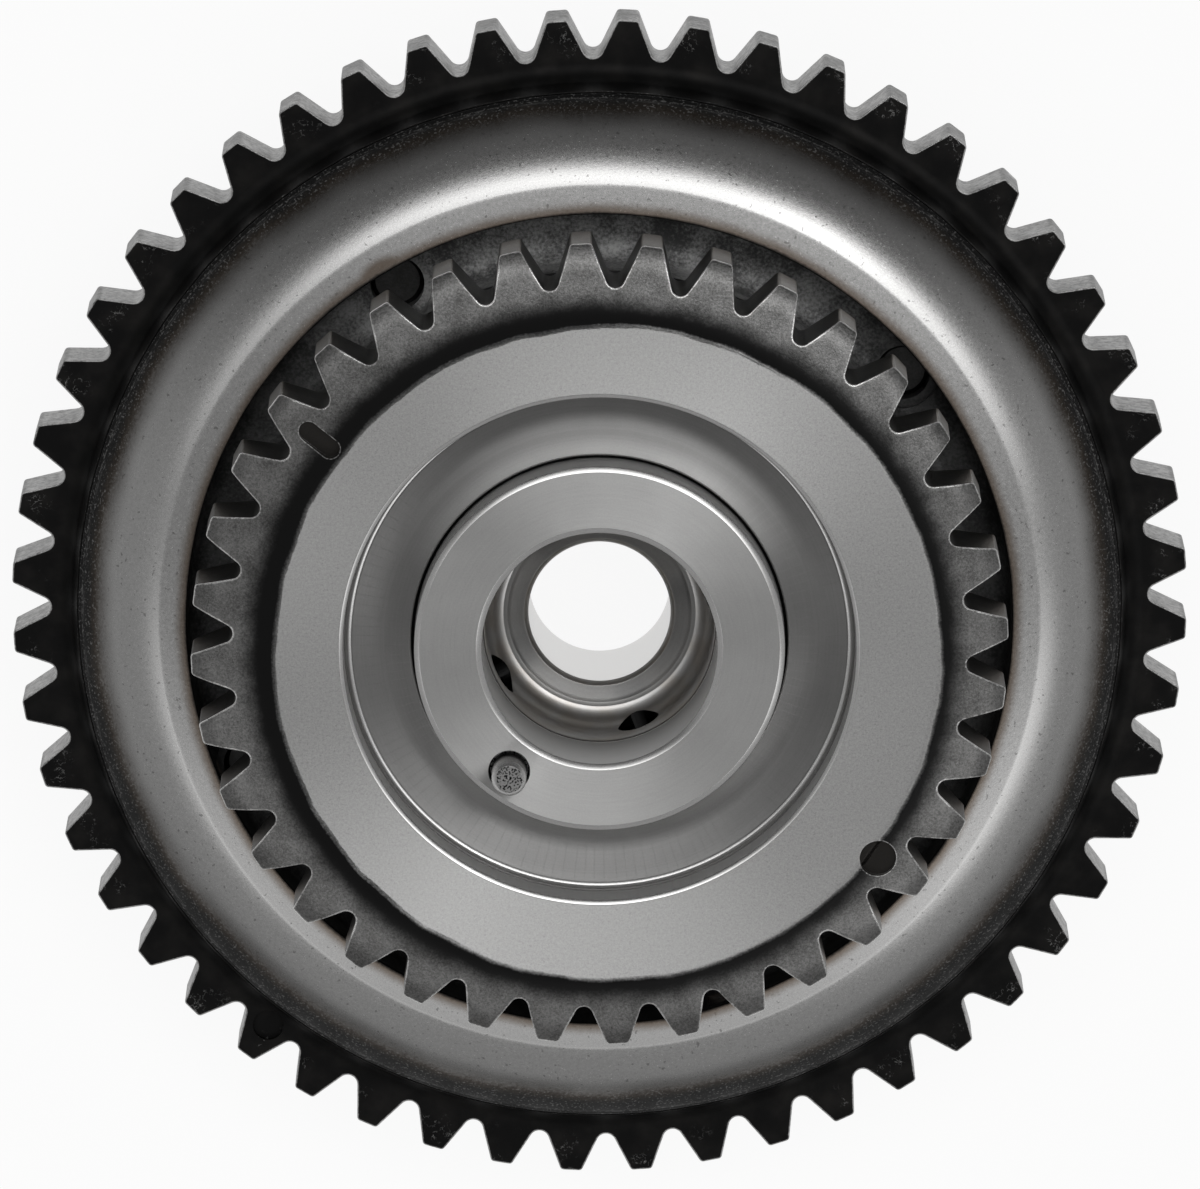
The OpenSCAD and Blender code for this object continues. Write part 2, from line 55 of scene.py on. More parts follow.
# Heights above the plane that the part lies on
COVER_Z = 4.0
BOSS_Z = 5.0
FRONT_Z = 8.0
VANE_Z = 8.1
VANE_TOP_Z = 27.9
RELIEF_Z = 11.5
TOOTH_Z = 16.0
GROOVE_Z = 20.0
RUN_OUT_Z = 26.4
SHOULDER_FOOT_Z = 21.2
RING_Z = 27.8
CHAMBER_Z = 28.0
INNER_Z = 33.0
BEARING_TOP_Z = 33.2
NECK_TOP_Z = 33.3
BACK_Z = 33.5
BODY_TOP_Z = 34.0
GROUND_Z = 43.84
RECESS_Z = 38.34
ROOT_Z = 43.2
TIP_Z = 41.5
HUB_Z = 43.19
BORE_FLOOR_Z = 22.59
BORE_STEP_Z = 31.39

# Lock pin, its bore, seat and retainer, and its coil spring
PIN_CIRCLE = 29.09
PIN_ANGLE = 42.0
PIN_BORE_R = 4.03
RETAINER_R = 4.6
SEAT_R = 5.35
SEAT_HEIGHT = 5.0
SPRING_Z = 10.2
SPRING_TOP_Z = 23.8
COIL_R = 1.9
WIRE_R = 0.35
COIL_TURNS = 7
COIL_STEPS = 48
WIRE_STEPS = 16

# Radii about the axis
BEARING_R = 20.68
RECESS_R = 28.5
GROUND_R = 37.6
GROUND_EDGE_R = 37.15
NECK_R = 40.0
RING_R = 46.3
CREASE_R = 49.4
COVER_R = 49.55
RELIEF_R = 51.05
SHOULDER_FOOT_R = 58.14
RIM_R = 59.5
BOLT_CIRCLE = 43.45
CHAMBER_R = 36.5
LOBE_R = 22.38
CORE_R = 22.03
VANE_R = 36.15
HUB_R = 20.63
BORE_R = 13.1
LOWER_BORE_R = 12.9
BOLT_HOLE_R = 8.0
BOSS_R = 17.0

# Angles in degrees, anticlockwise from the image's right
BOLT_ANGLES = [38.25, 121.5, 204.75, 288.0]
DOWEL_ANGLE = 234.0
VANE_EDGES = [137.0, 217.0, 297.0, 377.0]
VANE_WIDTHS = [20.0, 20.0, 20.0, 60.0]
VANE_PITCH = 80.0
TRAVEL = 25.0
STOP_GAP = 0.8

# Oil holes: degrees before each vane, then sizes, and the length painted black as the holes' shade
OIL_HOLE_OFFSET = 6.8
OIL_HOLE_R = 2.4
OIL_HOLE_Z = BORE_FLOOR_Z + 3.3
OIL_HOLE_MIDDLE = 16.0
OIL_HOLE_REACH = 8.0

# Camshaft dowel: its seat, the mouth of its hole and its free end
DOWEL_CIRCLE = 17.1
DOWEL_R = 2.15
DOWEL_MOUTH_R = 2.3
DOWEL_FREE_R = 1.95
DOWEL_SEAT_Z = HUB_Z - 8.0
DOWEL_MOUTH_Z = HUB_Z - 1.2
DOWEL_TOP_Z = HUB_Z + 4.4
DOWEL_CHAMFER = 0.45
DOWEL_END_R = 0.9

# Slots of the seals: half their width, and the radii of their floors
SLOT_HALF = 1.5
VANE_SLOT_R = 32.1
LOBE_SLOT_R = 26.43
VANE_ROOT_R = CORE_R - 1.4

# Holes for the cover's bolts and dowels
RUN_OUT_R = 4.0
RUN_OUT_SINK = 0.4
THREAD_R = 3.05
BOLT_CLEAR_R = 3.3
COVER_DOWEL_R = 2.5
COVER_DOWEL_ANGLES = (79.9, 246.4)
BOSS_GAP = 0.3

# Cover bolt: its hexagon, then flange, shank and end as radius and height
HEX_FLATS = 8.0
HEX_CHAMFER_R = 3.7
HEX_CHAMFER = math.radians(25)
HEX_TOP_Z = 2.55
BOLT_PROFILE = [(5.0, 2.75), (5.7, 3.05), (5.8, 3.25), (5.8, 3.85), (5.65, 4.0), (3.0, 4.0),
                (3.0, 17.0), (2.5, 17.5), (0.0, 17.5)]

# Bevels, as width and height, chamfers and fillets
HUB_BEVEL = (0.6, 0.26)
BORE_BEVEL = (0.65, 0.32)
RECESS_BEVEL = (0.5, 0.22)
STEP_DROP = 0.2
CHAMFER = 0.5
BOWL_R = 3.0
RECESS_FILLET = 1.0
GROOVE_FILLET = 2.0
SHOULDER_BEND = 44.0

# Foot of the shoulder: the step on the body, then the lip, the round and the front wall of the large rim
FOOT_STEP = [(58.22, 20.75), (58.62, 20.35), (58.80, 20.16), (58.6, 19.5), (58.6, 15.0), (60.0, 14.0)]
# The lip's third numbers are worn shares that paint a thin light line: a painted highlight on the rim's
# edge.
FOOT_LIP = [(58.3, 19.7, 0.0), (58.86, 20.02, 0.2), (58.98, 19.97, 0.5), (59.02, 19.83, 0.1)]
FOOT_ROUND = 2.4
FOOT_GAP = 0.35
RELIEF_WALL = [(RIM_R - 0.5, RELIEF_Z), (RIM_R - 0.6, RELIEF_Z + 0.7), (FOOT_LIP[0][0], RELIEF_Z + 1.0)]

# Fineness of round shapes, the break of sharp edges and how far cutters go past a face
ROUND_STEPS = 360
SHOULDER_STEPS = 480
SMALL_STEPS = 64
HOLE_STEPS = 40
EDGE_BREAK = 0.09
ROTOR_BREAK = 0.12
DOWEL_BREAK = 0.15
RECESS_BREAK = 0.2
SHOULDER_BREAK = 0.25
CUT_PAST = 1.0


class Rim:
    """Chain teeth of one rim: their number, radii and flanks."""

    def __init__(self, teeth, tip_extra, depth, flank):
        self.teeth = teeth
        self.half = math.pi / teeth
        self.tip_r = CHAIN_PITCH / 2 / math.tan(self.half) + tip_extra
        self.root_r = self.tip_r - depth
        self.flank = math.radians(flank)

    def stations(self, root_steps=6, corner_steps=3, flank_steps=4):
        """Points and outward normals of one tooth's outline, from gap middle to gap middle."""
        corner = Vector((math.sqrt(self.tip_r ** 2 - TIP_LAND ** 2 / 4), TIP_LAND / 2))
        gap = turned(corner, -self.half)
        slope = self.flank + self.half
        apex = gap.x + gap.y / math.tan(slope)
        round_r = max(TIP_ROUND, (self.root_r - apex) / (1 / math.sin(slope) - 1))
        root = Vector((self.root_r + round_r, 0))
        inset = TIP_ROUND * math.tan((math.pi / 2 - self.flank) / 2)
        tip = Vector((corner.x - TIP_ROUND, corner.y - inset))
        upper = []
        for i in range(corner_steps + 1):
            way = direction((math.pi / 2 - self.flank) * i / corner_steps)
            upper.append((tip + way * TIP_ROUND, way))
        bottom = []
        for i in range(root_steps + 1):
            way = direction(3 * math.pi / 2 - slope - (math.pi / 2 - slope) * i / root_steps)
            bottom.append((turned(root + way * round_r, self.half), turned(-way, self.half)))
        top, level_way = upper[-1]
        for i in range(1, flank_steps):
            upper.append((top.lerp(bottom[0][0], i / flank_steps), level_way))
        upper += bottom
        lower = [(mirrored(p), mirrored(n)) for p, n in reversed(upper)]
        return lower + upper


def direction(angle):
    """Unit vector at an angle in radians."""
    return Vector((math.cos(angle), math.sin(angle)))


def turned(point, angle):
    """A point turned about the axis by an angle in radians."""
    return Matrix.Rotation(angle, 2) @ point


def mirrored(point):
    """A point on the other side of a tooth."""
    return Vector((point.x, -point.y))


LARGE = Rim(52, 0.32, 4.35, 23.1)
SMALL = Rim(36, -0.22, 4.7, 20.0)

# Timing marks, and the edge of the small rim's ground face
MARK_DEPTH = 0.7
LARGE_MARK_R = 1.75
LARGE_MARK_REACH = 4.0
MARKS_R = SMALL.root_r - 1.75
ROUND_MARK_R = 2.05
ROUND_MARK_ANGLE = math.degrees(TOOTH_REFERENCE) + 90
OVAL_MARK_ANGLE = math.degrees(TOOTH_REFERENCE) - 90
OVAL_WIDTH = 2.2
OVAL_REACH = 1.5
BAND_R = 38.6
FACE_MIDDLE_R = 39.6
RECESS_PAINT_R = RECESS_R + 0.45
GROUND_CENTRE = (0.95, -0.5)

# Worn edges of the teeth, and how the small rim's face slopes and rolls off
WEAR = 0.28
ROLL_REACH = 2.6
ROLL_ROWS = 7
ROLL_STEP = 0.4
ROLL_INSET = 0.02
ROLL_WEAR = 0.04
FACE_SLOPE = 0.25
ROLL_RATE = (ROOT_Z - TIP_Z - FACE_SLOPE * (SMALL.tip_r - SMALL.root_r)) / ROLL_REACH ** 2


# Sections and meshes

def arc(centre, radius, start, end, steps):
    """Points of an arc in a section, between angles in degrees."""
    angles = [math.radians(start + (end - start) * i / steps) for i in range(steps + 1)]
    return [Vector(centre) + radius * direction(a) for a in angles]


def eased(section, radius=EDGE_BREAK, steps=3, least=20):
    """A closed section with every corner sharper than the least angle rounded off."""
    points = []
    for i, point in enumerate(section):
        here = Vector(point)
        back = Vector(section[i - 1]) - here
        ahead = Vector(section[(i + 1) % len(section)]) - here
        turn = math.pi - back.angle(ahead)
        if turn < math.radians(least):
            points.append(here)
            continue
        reach = min(radius * math.tan(turn / 2), 0.45 * back.length, 0.45 * ahead.length)
        start = here + back.normalized() * reach
        end = here + ahead.normalized() * reach
        for k in range(steps + 1):
            t = k / steps
            points.append(start * (1 - t) ** 2 + here * 2 * t * (1 - t) + end * t ** 2)
    return points


def new_piece(name, shape):
    """An object made from a mesh in millimetres."""
    bmesh.ops.transform(shape, matrix=Matrix.Scale(MM, 4), verts=shape.verts)
    mesh = bpy.data.meshes.new(name)
    shape.to_mesh(mesh)
    shape.free()
    piece = bpy.data.objects.new(name, mesh)
    bpy.context.scene.collection.objects.link(piece)
    return piece


def closed(shape):
    """Merges doubles and turns the faces outwards."""
    bmesh.ops.remove_doubles(shape, verts=shape.verts, dist=1e-4)
    bmesh.ops.recalc_face_normals(shape, faces=shape.faces)
    return shape


def loft(shape, rows, wrap, ring=True):
    """Quads between rows of points; wrap joins each row's ends, and ring the last row to the first."""
    grid = [[shape.verts.new(p) for p in row] for row in rows]
    columns = len(rows[0]) if wrap else len(rows[0]) - 1
    following = grid[1:] + grid[:1] if ring else grid[1:]
    for row, ahead in zip(grid, following):
        for j in range(columns):
            k = (j + 1) % len(row)
            shape.faces.new((row[j], row[k], ahead[k], ahead[j]))
    return grid


def revolve(section, steps=ROUND_STEPS, centre=(0, 0)):
    """A closed section turned about an axis along Z."""
    shape = bmesh.new()
    ways = [direction(2 * math.pi * i / steps) for i in range(steps)]
    rows = [[(centre[0] + r * w.x, centre[1] + r * w.y, z) for w in ways] for r, z in section]
    loft(shape, rows, True)
    return closed(shape)


def prism(outline, low, high):
    """A plane outline stood up between two heights."""
    shape = bmesh.new()
    bottom = [shape.verts.new((x, y, low)) for x, y in outline]
    top = [shape.verts.new((x, y, high)) for x, y in outline]
    shape.faces.new(bottom)
    shape.faces.new(top)
    for i in range(len(outline)):
        k = (i + 1) % len(outline)
        shape.faces.new((bottom[i], bottom[k], top[k], top[i]))
    return closed(shape)


def joined(shapes):
    """Several meshes as one."""
    whole = bmesh.new()
    for shape in shapes:
        part = bpy.data.meshes.new("part")
        shape.to_mesh(part)
        shape.free()
        whole.from_mesh(part)
        bpy.data.meshes.remove(part)
    return whole


def at(radius, degrees):
    """A point at a radius and an angle about the axis."""
    return tuple(radius * direction(math.radians(degrees)))


def rod(radius, low, high, centre, steps=SMALL_STEPS):
    """A plain round cutter."""
    return revolve([(0, low), (radius, low), (radius, high), (0, high)], steps, centre)


def bake(piece):
    """Turns the evaluated piece into a plain mesh."""
    graph = bpy.context.evaluated_depsgraph_get()
    piece.data = bpy.data.meshes.new_from_object(piece.evaluated_get(graph))
    piece.modifiers.clear()


def cut(piece, shapes):
    """Takes closed shapes that don't touch each other out of a piece."""
    cutter = new_piece("cutter", joined(shapes))
    change = piece.modifiers.new("cut", "BOOLEAN")
    change.operation = "DIFFERENCE"
    change.solver = "EXACT"
    change.object = cutter
    bake(piece)
    bpy.data.objects.remove(cutter)


def polish(piece, sharp=38):
    """Smooth shading that keeps flats flat and sharp edges sharp."""
    for face in piece.data.polygons:
        face.use_smooth = True
    piece.data.set_sharp_from_angle(angle=math.radians(sharp))
    weighted = piece.modifiers.new("flats", "WEIGHTED_NORMAL")
    weighted.mode = "FACE_AREA"
    weighted.weight = 90
    weighted.keep_sharp = True
    bake(piece)


def place(piece, body, nodes, slot, *finishes):
    """Puts a finished piece on its body, in place of CAD nodes, with its materials."""
    polish(piece)
    piece.data.materials.clear()
    for finish in finishes:
        piece.data.materials.append(finish)
    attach(piece, body)
    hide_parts(*nodes)


# Node trees

TURNED_SLOPE = 0.42


class Field:
    """A value over a surface. Sums, products and the like of fields add Math nodes."""

    def __init__(self, finish, socket):
        self.finish = finish
        self.socket = socket

    def math(self, operation, first, second=0.0):
        return self.finish.node("ShaderNodeMath", {"operation": operation}, {0: first, 1: second})

    def __add__(self, other):
        return self.math("ADD", self, other)

    __radd__ = __add__

    def __sub__(self, other):
        return self.math("SUBTRACT", self, other)

    def __rsub__(self, other):
        return self.math("SUBTRACT", other, self)

    def __mul__(self, other):
        return self.math("MULTIPLY", self, other)

    __rmul__ = __mul__

    def __truediv__(self, other):
        return self.math("DIVIDE", self, other)

    def __abs__(self):
        return self.math("ABSOLUTE", self)

    def least(self, other):
        return self.math("MINIMUM", self, other)

    def most(self, other):
        return self.math("MAXIMUM", self, other)

    def root(self):
        return self.math("SQRT", self)

    def rise(self, start, end):
        """0 before start, 1 after end, smooth between; falls instead where start is above end."""
        return self.finish.node("ShaderNodeMapRange", {"interpolation_type": "SMOOTHSTEP"},
                                {"Value": self, "From Min": start, "From Max": end})

    def line(self, middle, width):
        """1 on a thin line where the field equals middle, 0 a width away."""
        return abs(self - middle).rise(width, 0.0)


class Finish:
    """A node tree in the making, with the places on a piece in millimetres."""

    def __init__(self, tree):
        self.tree = tree
        tree.nodes.clear()

    def node(self, kind, settings=None, inputs=None, output=0):
        """Any node: its type, its settings, then the values or links of its sockets."""
        made = self.tree.nodes.new(kind)
        for key, value in (settings or {}).items():
            setattr(made, key, value)
        for key, value in (inputs or {}).items():
            socket = made.inputs[key]
            if isinstance(value, Field):
                self.tree.links.new(value.socket, socket)
            elif socket.type == "RGBA":
                socket.default_value = (*value, 1.0)
            else:
                socket.default_value = value
        return Field(self, made.outputs[output]) if made.outputs else None

    def locate(self):
        """Finds the point on the piece, its heights and its distance from the axis."""
        metres = self.node("ShaderNodeTexCoord", output="Object")
        self.point = self.node("ShaderNodeVectorMath", {"operation": "SCALE"},
                               {0: metres, "Scale": 1 / MM})
        self.x, self.y, self.z = (self.node("ShaderNodeSeparateXYZ", {}, {0: self.point}, axis)
                                  for axis in "XYZ")
        self.r = (self.x * self.x + self.y * self.y).root()
        facing = self.node("ShaderNodeNewGeometry", {}, {}, "True Normal")
        self.up = self.node("ShaderNodeSeparateXYZ", {}, {0: facing}, "Z")

    def noise(self, scale, detail=2.0, rough=0.5, where=None, shift=0.0):
        """Cloudy noise about 0.5; scale is in cycles per millimetre."""
        place_of = where or self.point
        moved = self.node("ShaderNodeVectorMath", {"operation": "ADD"}, {0: place_of, 1: (shift,) * 3})
        return self.node("ShaderNodeTexNoise", {},
                         {"Vector": moved, "Scale": scale, "Detail": detail, "Roughness": rough})

    def rings(self, along, scale, detail=2.0):
        """Noise that changes along one field only, such as the distance from the axis."""
        return self.node("ShaderNodeTexNoise", {"noise_dimensions": "1D"},
                         {"W": along, "Scale": scale, "Detail": detail, "Roughness": 0.7})

    def sweep(self, around, across):
        """A place stretched round the axis, for patterns that follow a turned surface."""
        return self.node("ShaderNodeCombineXYZ", {},
                         {"X": self.x / self.r * around, "Y": self.y / self.r * around,
                          "Z": across})

    def distance(self, centre):
        """Plane distance from a point, in millimetres."""
        dx = self.x - centre[0]
        dy = self.y - centre[1]
        return (dx * dx + dy * dy).root()

    def slot_distance(self, degrees, middle_r, reach, height=None):
        """Distance from a radial line, reach long to each side of a radius; in 3-D with a height."""
        way = direction(math.radians(degrees))
        along = abs(self.x * way.x + self.y * way.y - middle_r) - reach
        beyond = along.most(0.0)
        across = self.y * way.x - self.x * way.y
        total = beyond * beyond + across * across
        if height is not None:
            rise = self.z - height
            total = total + rise * rise
        return total.root()

    def attribute(self, name):
        """A value that the mesh carries at its points."""
        return self.node("ShaderNodeAttribute", {"attribute_name": name}, {}, "Fac")

    def mix(self, factor, first, second):
        """Between two colours."""
        return self.node("ShaderNodeMix", {"data_type": "RGBA"}, {0: factor, 6: first, 7: second}, 2)

    def scaled(self, colour, factor):
        """A colour made lighter or darker by a field."""
        return self.node("ShaderNodeVectorMath", {"operation": "SCALE"}, {0: colour, "Scale": factor})

    def skin(self, colour, roughness, height, metallic):
        """One shader: colour, roughness, a height in millimetres for the relief, and how metallic it is."""
        bump = self.node("ShaderNodeBump", {}, {"Height": height, "Distance": MM, "Strength": 1.0})
        return self.node("ShaderNodeBsdfPrincipled", {},
                         {"Base Color": colour, "Roughness": roughness,
                          "Metallic": metallic, "Normal": bump})

    def surface(self, colour, roughness, height, metallic=1.0, grooves=None):
        """The finished surface. Grooves are the height of one side of the turning marks; both show."""
        if grooves is None:
            whole = self.skin(colour, roughness, height, metallic)
        else:
            rising = self.skin(colour, roughness, height + grooves, metallic)
            falling = self.skin(colour, roughness, height - grooves, metallic)
            whole = self.node("ShaderNodeMixShader", {}, {0: 0.5, 1: rising, 2: falling})
        self.node("ShaderNodeOutputMaterial", {}, {"Surface": whole})


# Geometry Nodes: copies of one shape turned about the axis
COPY_INPUTS = {"Shape": "Geometry", "Count": "Int", "First angle": "Float", "Step angle": "Float",
               "Merge distance": "Float", "Finish": "Material"}


def copies_tree():
    """Node group that copies, turns, merges and paints a shape."""
    tree = bpy.data.node_groups.new("copies_round_the_axis", "GeometryNodeTree")
    for name, kind in COPY_INPUTS.items():
        tree.interface.new_socket(name, in_out="INPUT", socket_type="NodeSocket" + kind)
    tree.interface.new_socket("Shape", in_out="OUTPUT", socket_type="NodeSocketGeometry")
    f = Finish(tree)
    given = {name: f.node("NodeGroupInput", output=name) for name in COPY_INPUTS}
    points = f.node("GeometryNodePoints", {}, {"Count": given["Count"]})
    index = f.node("GeometryNodeInputIndex")
    angle = f.node("ShaderNodeMath", {"operation": "MULTIPLY_ADD"},
                   {0: index, 1: given["Step angle"], 2: given["First angle"]})
    euler = f.node("ShaderNodeCombineXYZ", {}, {"Z": angle})
    turn = f.node("FunctionNodeEulerToRotation", {}, {0: euler})
    copies = f.node("GeometryNodeInstanceOnPoints", {},
                    {"Points": points, "Instance": given["Shape"], "Rotation": turn})
    real = f.node("GeometryNodeRealizeInstances", {}, {0: copies})
    merged = f.node("GeometryNodeMergeByDistance", {},
                    {"Geometry": real, "Distance": given["Merge distance"]})
    painted = f.node("GeometryNodeSetMaterial", {}, {"Geometry": merged, "Material": given["Finish"]})
    f.node("NodeGroupOutput", {}, {0: painted})
    return tree


COPIES = copies_tree()


def repeat(piece, count, first, step, finish, merge=2e-6):
    """Copies a shape about the axis and bakes the result; angles are in radians."""
    change = piece.modifiers.new("copies", "NODES")
    change.node_group = COPIES
    values = {"Count": count, "First angle": first, "Step angle": step,
              "Merge distance": merge, "Finish": finish}
    for item in COPIES.interface.items_tree:
        if item.in_out == "INPUT" and item.name in values:
            change[item.identifier] = values[item.name]
    bake(piece)


# Finishes

def new_finish(name):
    """A material, and the finish that fills its node tree."""
    material = bpy.data.materials.new(name)
    material.use_nodes = True
    finish = Finish(material.node_tree)
    finish.locate()
    return material, finish


# Colours of the metal: bare, dulled, heat-tinted and blackened
BARE_STEEL = (0.56, 0.556, 0.55)
SATIN_STEEL = (0.46, 0.457, 0.452)
HUB_STEEL = (0.34, 0.338, 0.334)
LAPPED_STEEL = (0.37, 0.368, 0.364)
RECESS_STEEL = (0.265, 0.263, 0.260)
PALE_PAINTED_LIGHT = (0.74, 0.735, 0.725)
DULL_STEEL = (0.20, 0.198, 0.195)
STAIN_BROWN = (0.34, 0.29, 0.235)
TINT_BROWN = (0.105, 0.072, 0.046)
FOOT_BROWN = (0.036, 0.029, 0.023)
TOOTH_DARK = (0.07, 0.069, 0.067)
TOOTH_LIGHT = (0.24, 0.238, 0.235)
BAND_BLACK = (0.015, 0.015, 0.015)
OXIDE_GREY = (0.034, 0.032, 0.030)
OXIDE_AND_SHADE_BLACK = (0.011, 0.011, 0.011)
GROOVE_DARK = (0.045, 0.045, 0.045)
GROOVE_GREY = (0.30, 0.30, 0.296)
SEAL_BLACK = (0.018, 0.018, 0.019)
SEAL_GREY = (0.040, 0.040, 0.042)


# Where finishes change: radii, heights and distances, each from and to; the step's painted highlight line
# has a middle and a width
TIP_WEAR = (61.6, 64.8)
TIP_SHADE = (65.8, 66.2)
FOOT_BLACK = (56.4, 58.0)
FOOT_DOTS = (54.6, 56.4)
FOOT_FADE = (54.3, 57.2)
INNER_BLACK = (46.8, RING_R)
LIP_FADE = (48.0, 46.6)
HOLE_PAINTED_SHADE = (5.2, 4.0)
GROOVE_RADII = (46.9, 46.6)
GROOVE_HEIGHTS = (27.75, 27.45)
FRONT_RADII = (NECK_R, 47.0)
FRONT_HEIGHTS = (19.9, 19.0)
TEETH_FADE = (38.3, 41.2)
MARK_FLOOR = (ROOT_Z - 0.3, ROOT_Z - 0.5)
OUTER_WALL = (BORE_R + 1.0, BORE_R + 2.0)
BORE_SIDE = (BORE_R + 0.2, BORE_R + 0.1)
BORE_LOW = (BORE_FLOOR_Z - 0.8, BORE_FLOOR_Z - 0.3)
THROUGH_SIDE = (BOLT_HOLE_R + 0.3, BOLT_HOLE_R + 0.1)
DOWEL_GAP_SHADE = (DOWEL_MOUTH_R + 0.06, DOWEL_MOUTH_R + 0.02)
DOWEL_LOW = (HUB_Z - 9.0, HUB_Z - 8.5)
OIL_HOLE_SHADE = (OIL_HOLE_R + 0.06, OIL_HOLE_R + 0.02)
STEP_HIGHLIGHT = (58.35, 0.10)


def large_rim_finish():
    """Black oxide on the large teeth, worn to streaky metal on flanks and edges, scratched at the tips,
    with a painted highlight line along the lip by the shoulder.
    """
    material, f = new_finish("large_rim_oxide")
    wear_and_highlight = f.attribute("wear_and_highlight")
    grain = f.noise(5.0)
    speck = f.noise(2.2, 3.0, 0.65)
    cloud = f.noise(0.3, 3.0)
    scrape = f.noise(1.3, 4.0, 0.75, shift=17.0)
    patches = f.noise(0.28, shift=9.0).rise(0.53, 0.64) * f.r.rise(*TIP_WEAR)
    scratches = f.noise(0.9, 3.0, 0.6, shift=31.0).line(0.5, 0.015) * speck.rise(0.40, 0.55)
    flecks = speck.rise(0.64, 0.70) * 0.6
    oxide = f.mix(cloud.rise(0.35, 0.8) * 0.4, OXIDE_AND_SHADE_BLACK, OXIDE_GREY)
    # worn also carries the lip's painted highlight line.
    worn = (wear_and_highlight + (grain - 0.5) * 0.5 + (cloud - 0.5) * 0.3).rise(0.45, 0.8)
    edge = (wear_and_highlight + (speck - 0.5) * 0.5 + (cloud - 0.5) * 0.4).rise(0.85, 1.05)
    shade = (0.10 + scrape.rise(0.3, 0.7) * 0.45 + grain * 0.25) * (1 - f.r.rise(*TIP_SHADE) * 0.4)
    steel = f.mix(edge, f.scaled(BARE_STEEL, shade), SATIN_STEEL)
    scratched = f.mix(scratches.most(flecks) * patches * 0.55, oxide, SATIN_STEEL)
    colour = f.mix(worn, scratched, steel)
    f.surface(colour, 0.52 - worn * 0.08, grain * 0.005 + speck * 0.006)
    return material


def shoulder_finish():
    """Satin shoulder, heat-tinted at its foot and inner edge, with painted shade that carries the foot's
    dark band further in towards the front; dull groove with painted light, greyest behind the teeth, and
    painted shade elsewhere.
    """
    material, f = new_finish("shoulder_satin")
    grain = f.noise(6.0)
    speck = f.noise(2.6, 3.0, 0.65)
    cloud = f.noise(0.22, 3.0)
    wander = f.noise(0.12) - 0.5
    back = f.y / f.r
    # The back terms carry the foot's dark band further in towards the front: painted shade on top of the
    # heat tint.
    foot = f.r + wander + (speck - 0.5) * 1.2 - back * 0.45 + back.rise(0.0, -0.8) * 0.5
    inner = f.r + wander * 0.6 + (speck - 0.5) * 0.3
    black = foot.rise(*FOOT_BLACK).most(inner.rise(*INNER_BLACK))
    groove = f.z.rise(*GROOVE_HEIGHTS) * f.r.rise(*GROOVE_RADII)
    front = f.z.rise(*FRONT_HEIGHTS) * f.r.rise(*FRONT_RADII)
    pits = f.noise(1.9, shift=5.0).rise(0.66, 0.72)
    dots = f.noise(3.6, shift=3.0).rise(0.58, 0.67) * foot.rise(*FOOT_DOTS)
    within = f.r.rise(CREASE_R, CREASE_R - 0.2)
    tone = 0.90 + (speck - 0.5) * 0.34 + (grain - 0.5) * 0.3 - within * 0.08
    pitted = f.mix(pits * 0.45, f.scaled(SATIN_STEEL, tone), OXIDE_GREY)
    footed = f.mix(foot.rise(*FOOT_FADE), pitted, FOOT_BROWN)
    # Painted shade: the lip is darkened brown round the bolt hole at 121.5 degrees.
    painted_hole_shade = f.distance(at(BOLT_CIRCLE, BOLT_ANGLES[1])).rise(*HOLE_PAINTED_SHADE)
    lip = inner.rise(*LIP_FADE).most(painted_hole_shade)
    tinted = f.mix(black, f.mix(lip * 0.8, footed, TINT_BROWN), OXIDE_AND_SHADE_BLACK)
    dotted = f.mix(dots * 0.45, tinted, DULL_STEEL)
    # A thin lighter line on the step's edge: a painted highlight.
    stepped = f.mix(f.r.line(*STEP_HIGHLIGHT) * speck.rise(0.40, 0.65) * 0.5, dotted, DULL_STEEL)
    mottled = f.mix((cloud * 0.6 + speck * 0.6).rise(0.45, 0.8), GROOVE_DARK, GROOVE_GREY)
    # Painted light and shade: the groove is lighter behind the teeth, where the key light falls, and darker
    # at the sides and front.
    groove_light_and_shade = f.scaled(mottled, 0.3 + back.rise(0.55, 0.95) * 1.2)
    relieved = f.mix(0.3 + (speck - 0.5) * 0.5, OXIDE_GREY, GROOVE_DARK)
    colour = f.mix(front, f.mix(groove, stepped, groove_light_and_shade), relieved)
    dark = black.most(groove).most(front)
    roughness = 0.25 + dark * 0.25 + (speck - 0.5) * 0.12
    f.surface(colour, roughness, grain * 0.003 + speck * 0.005, 1 - groove)
    return material


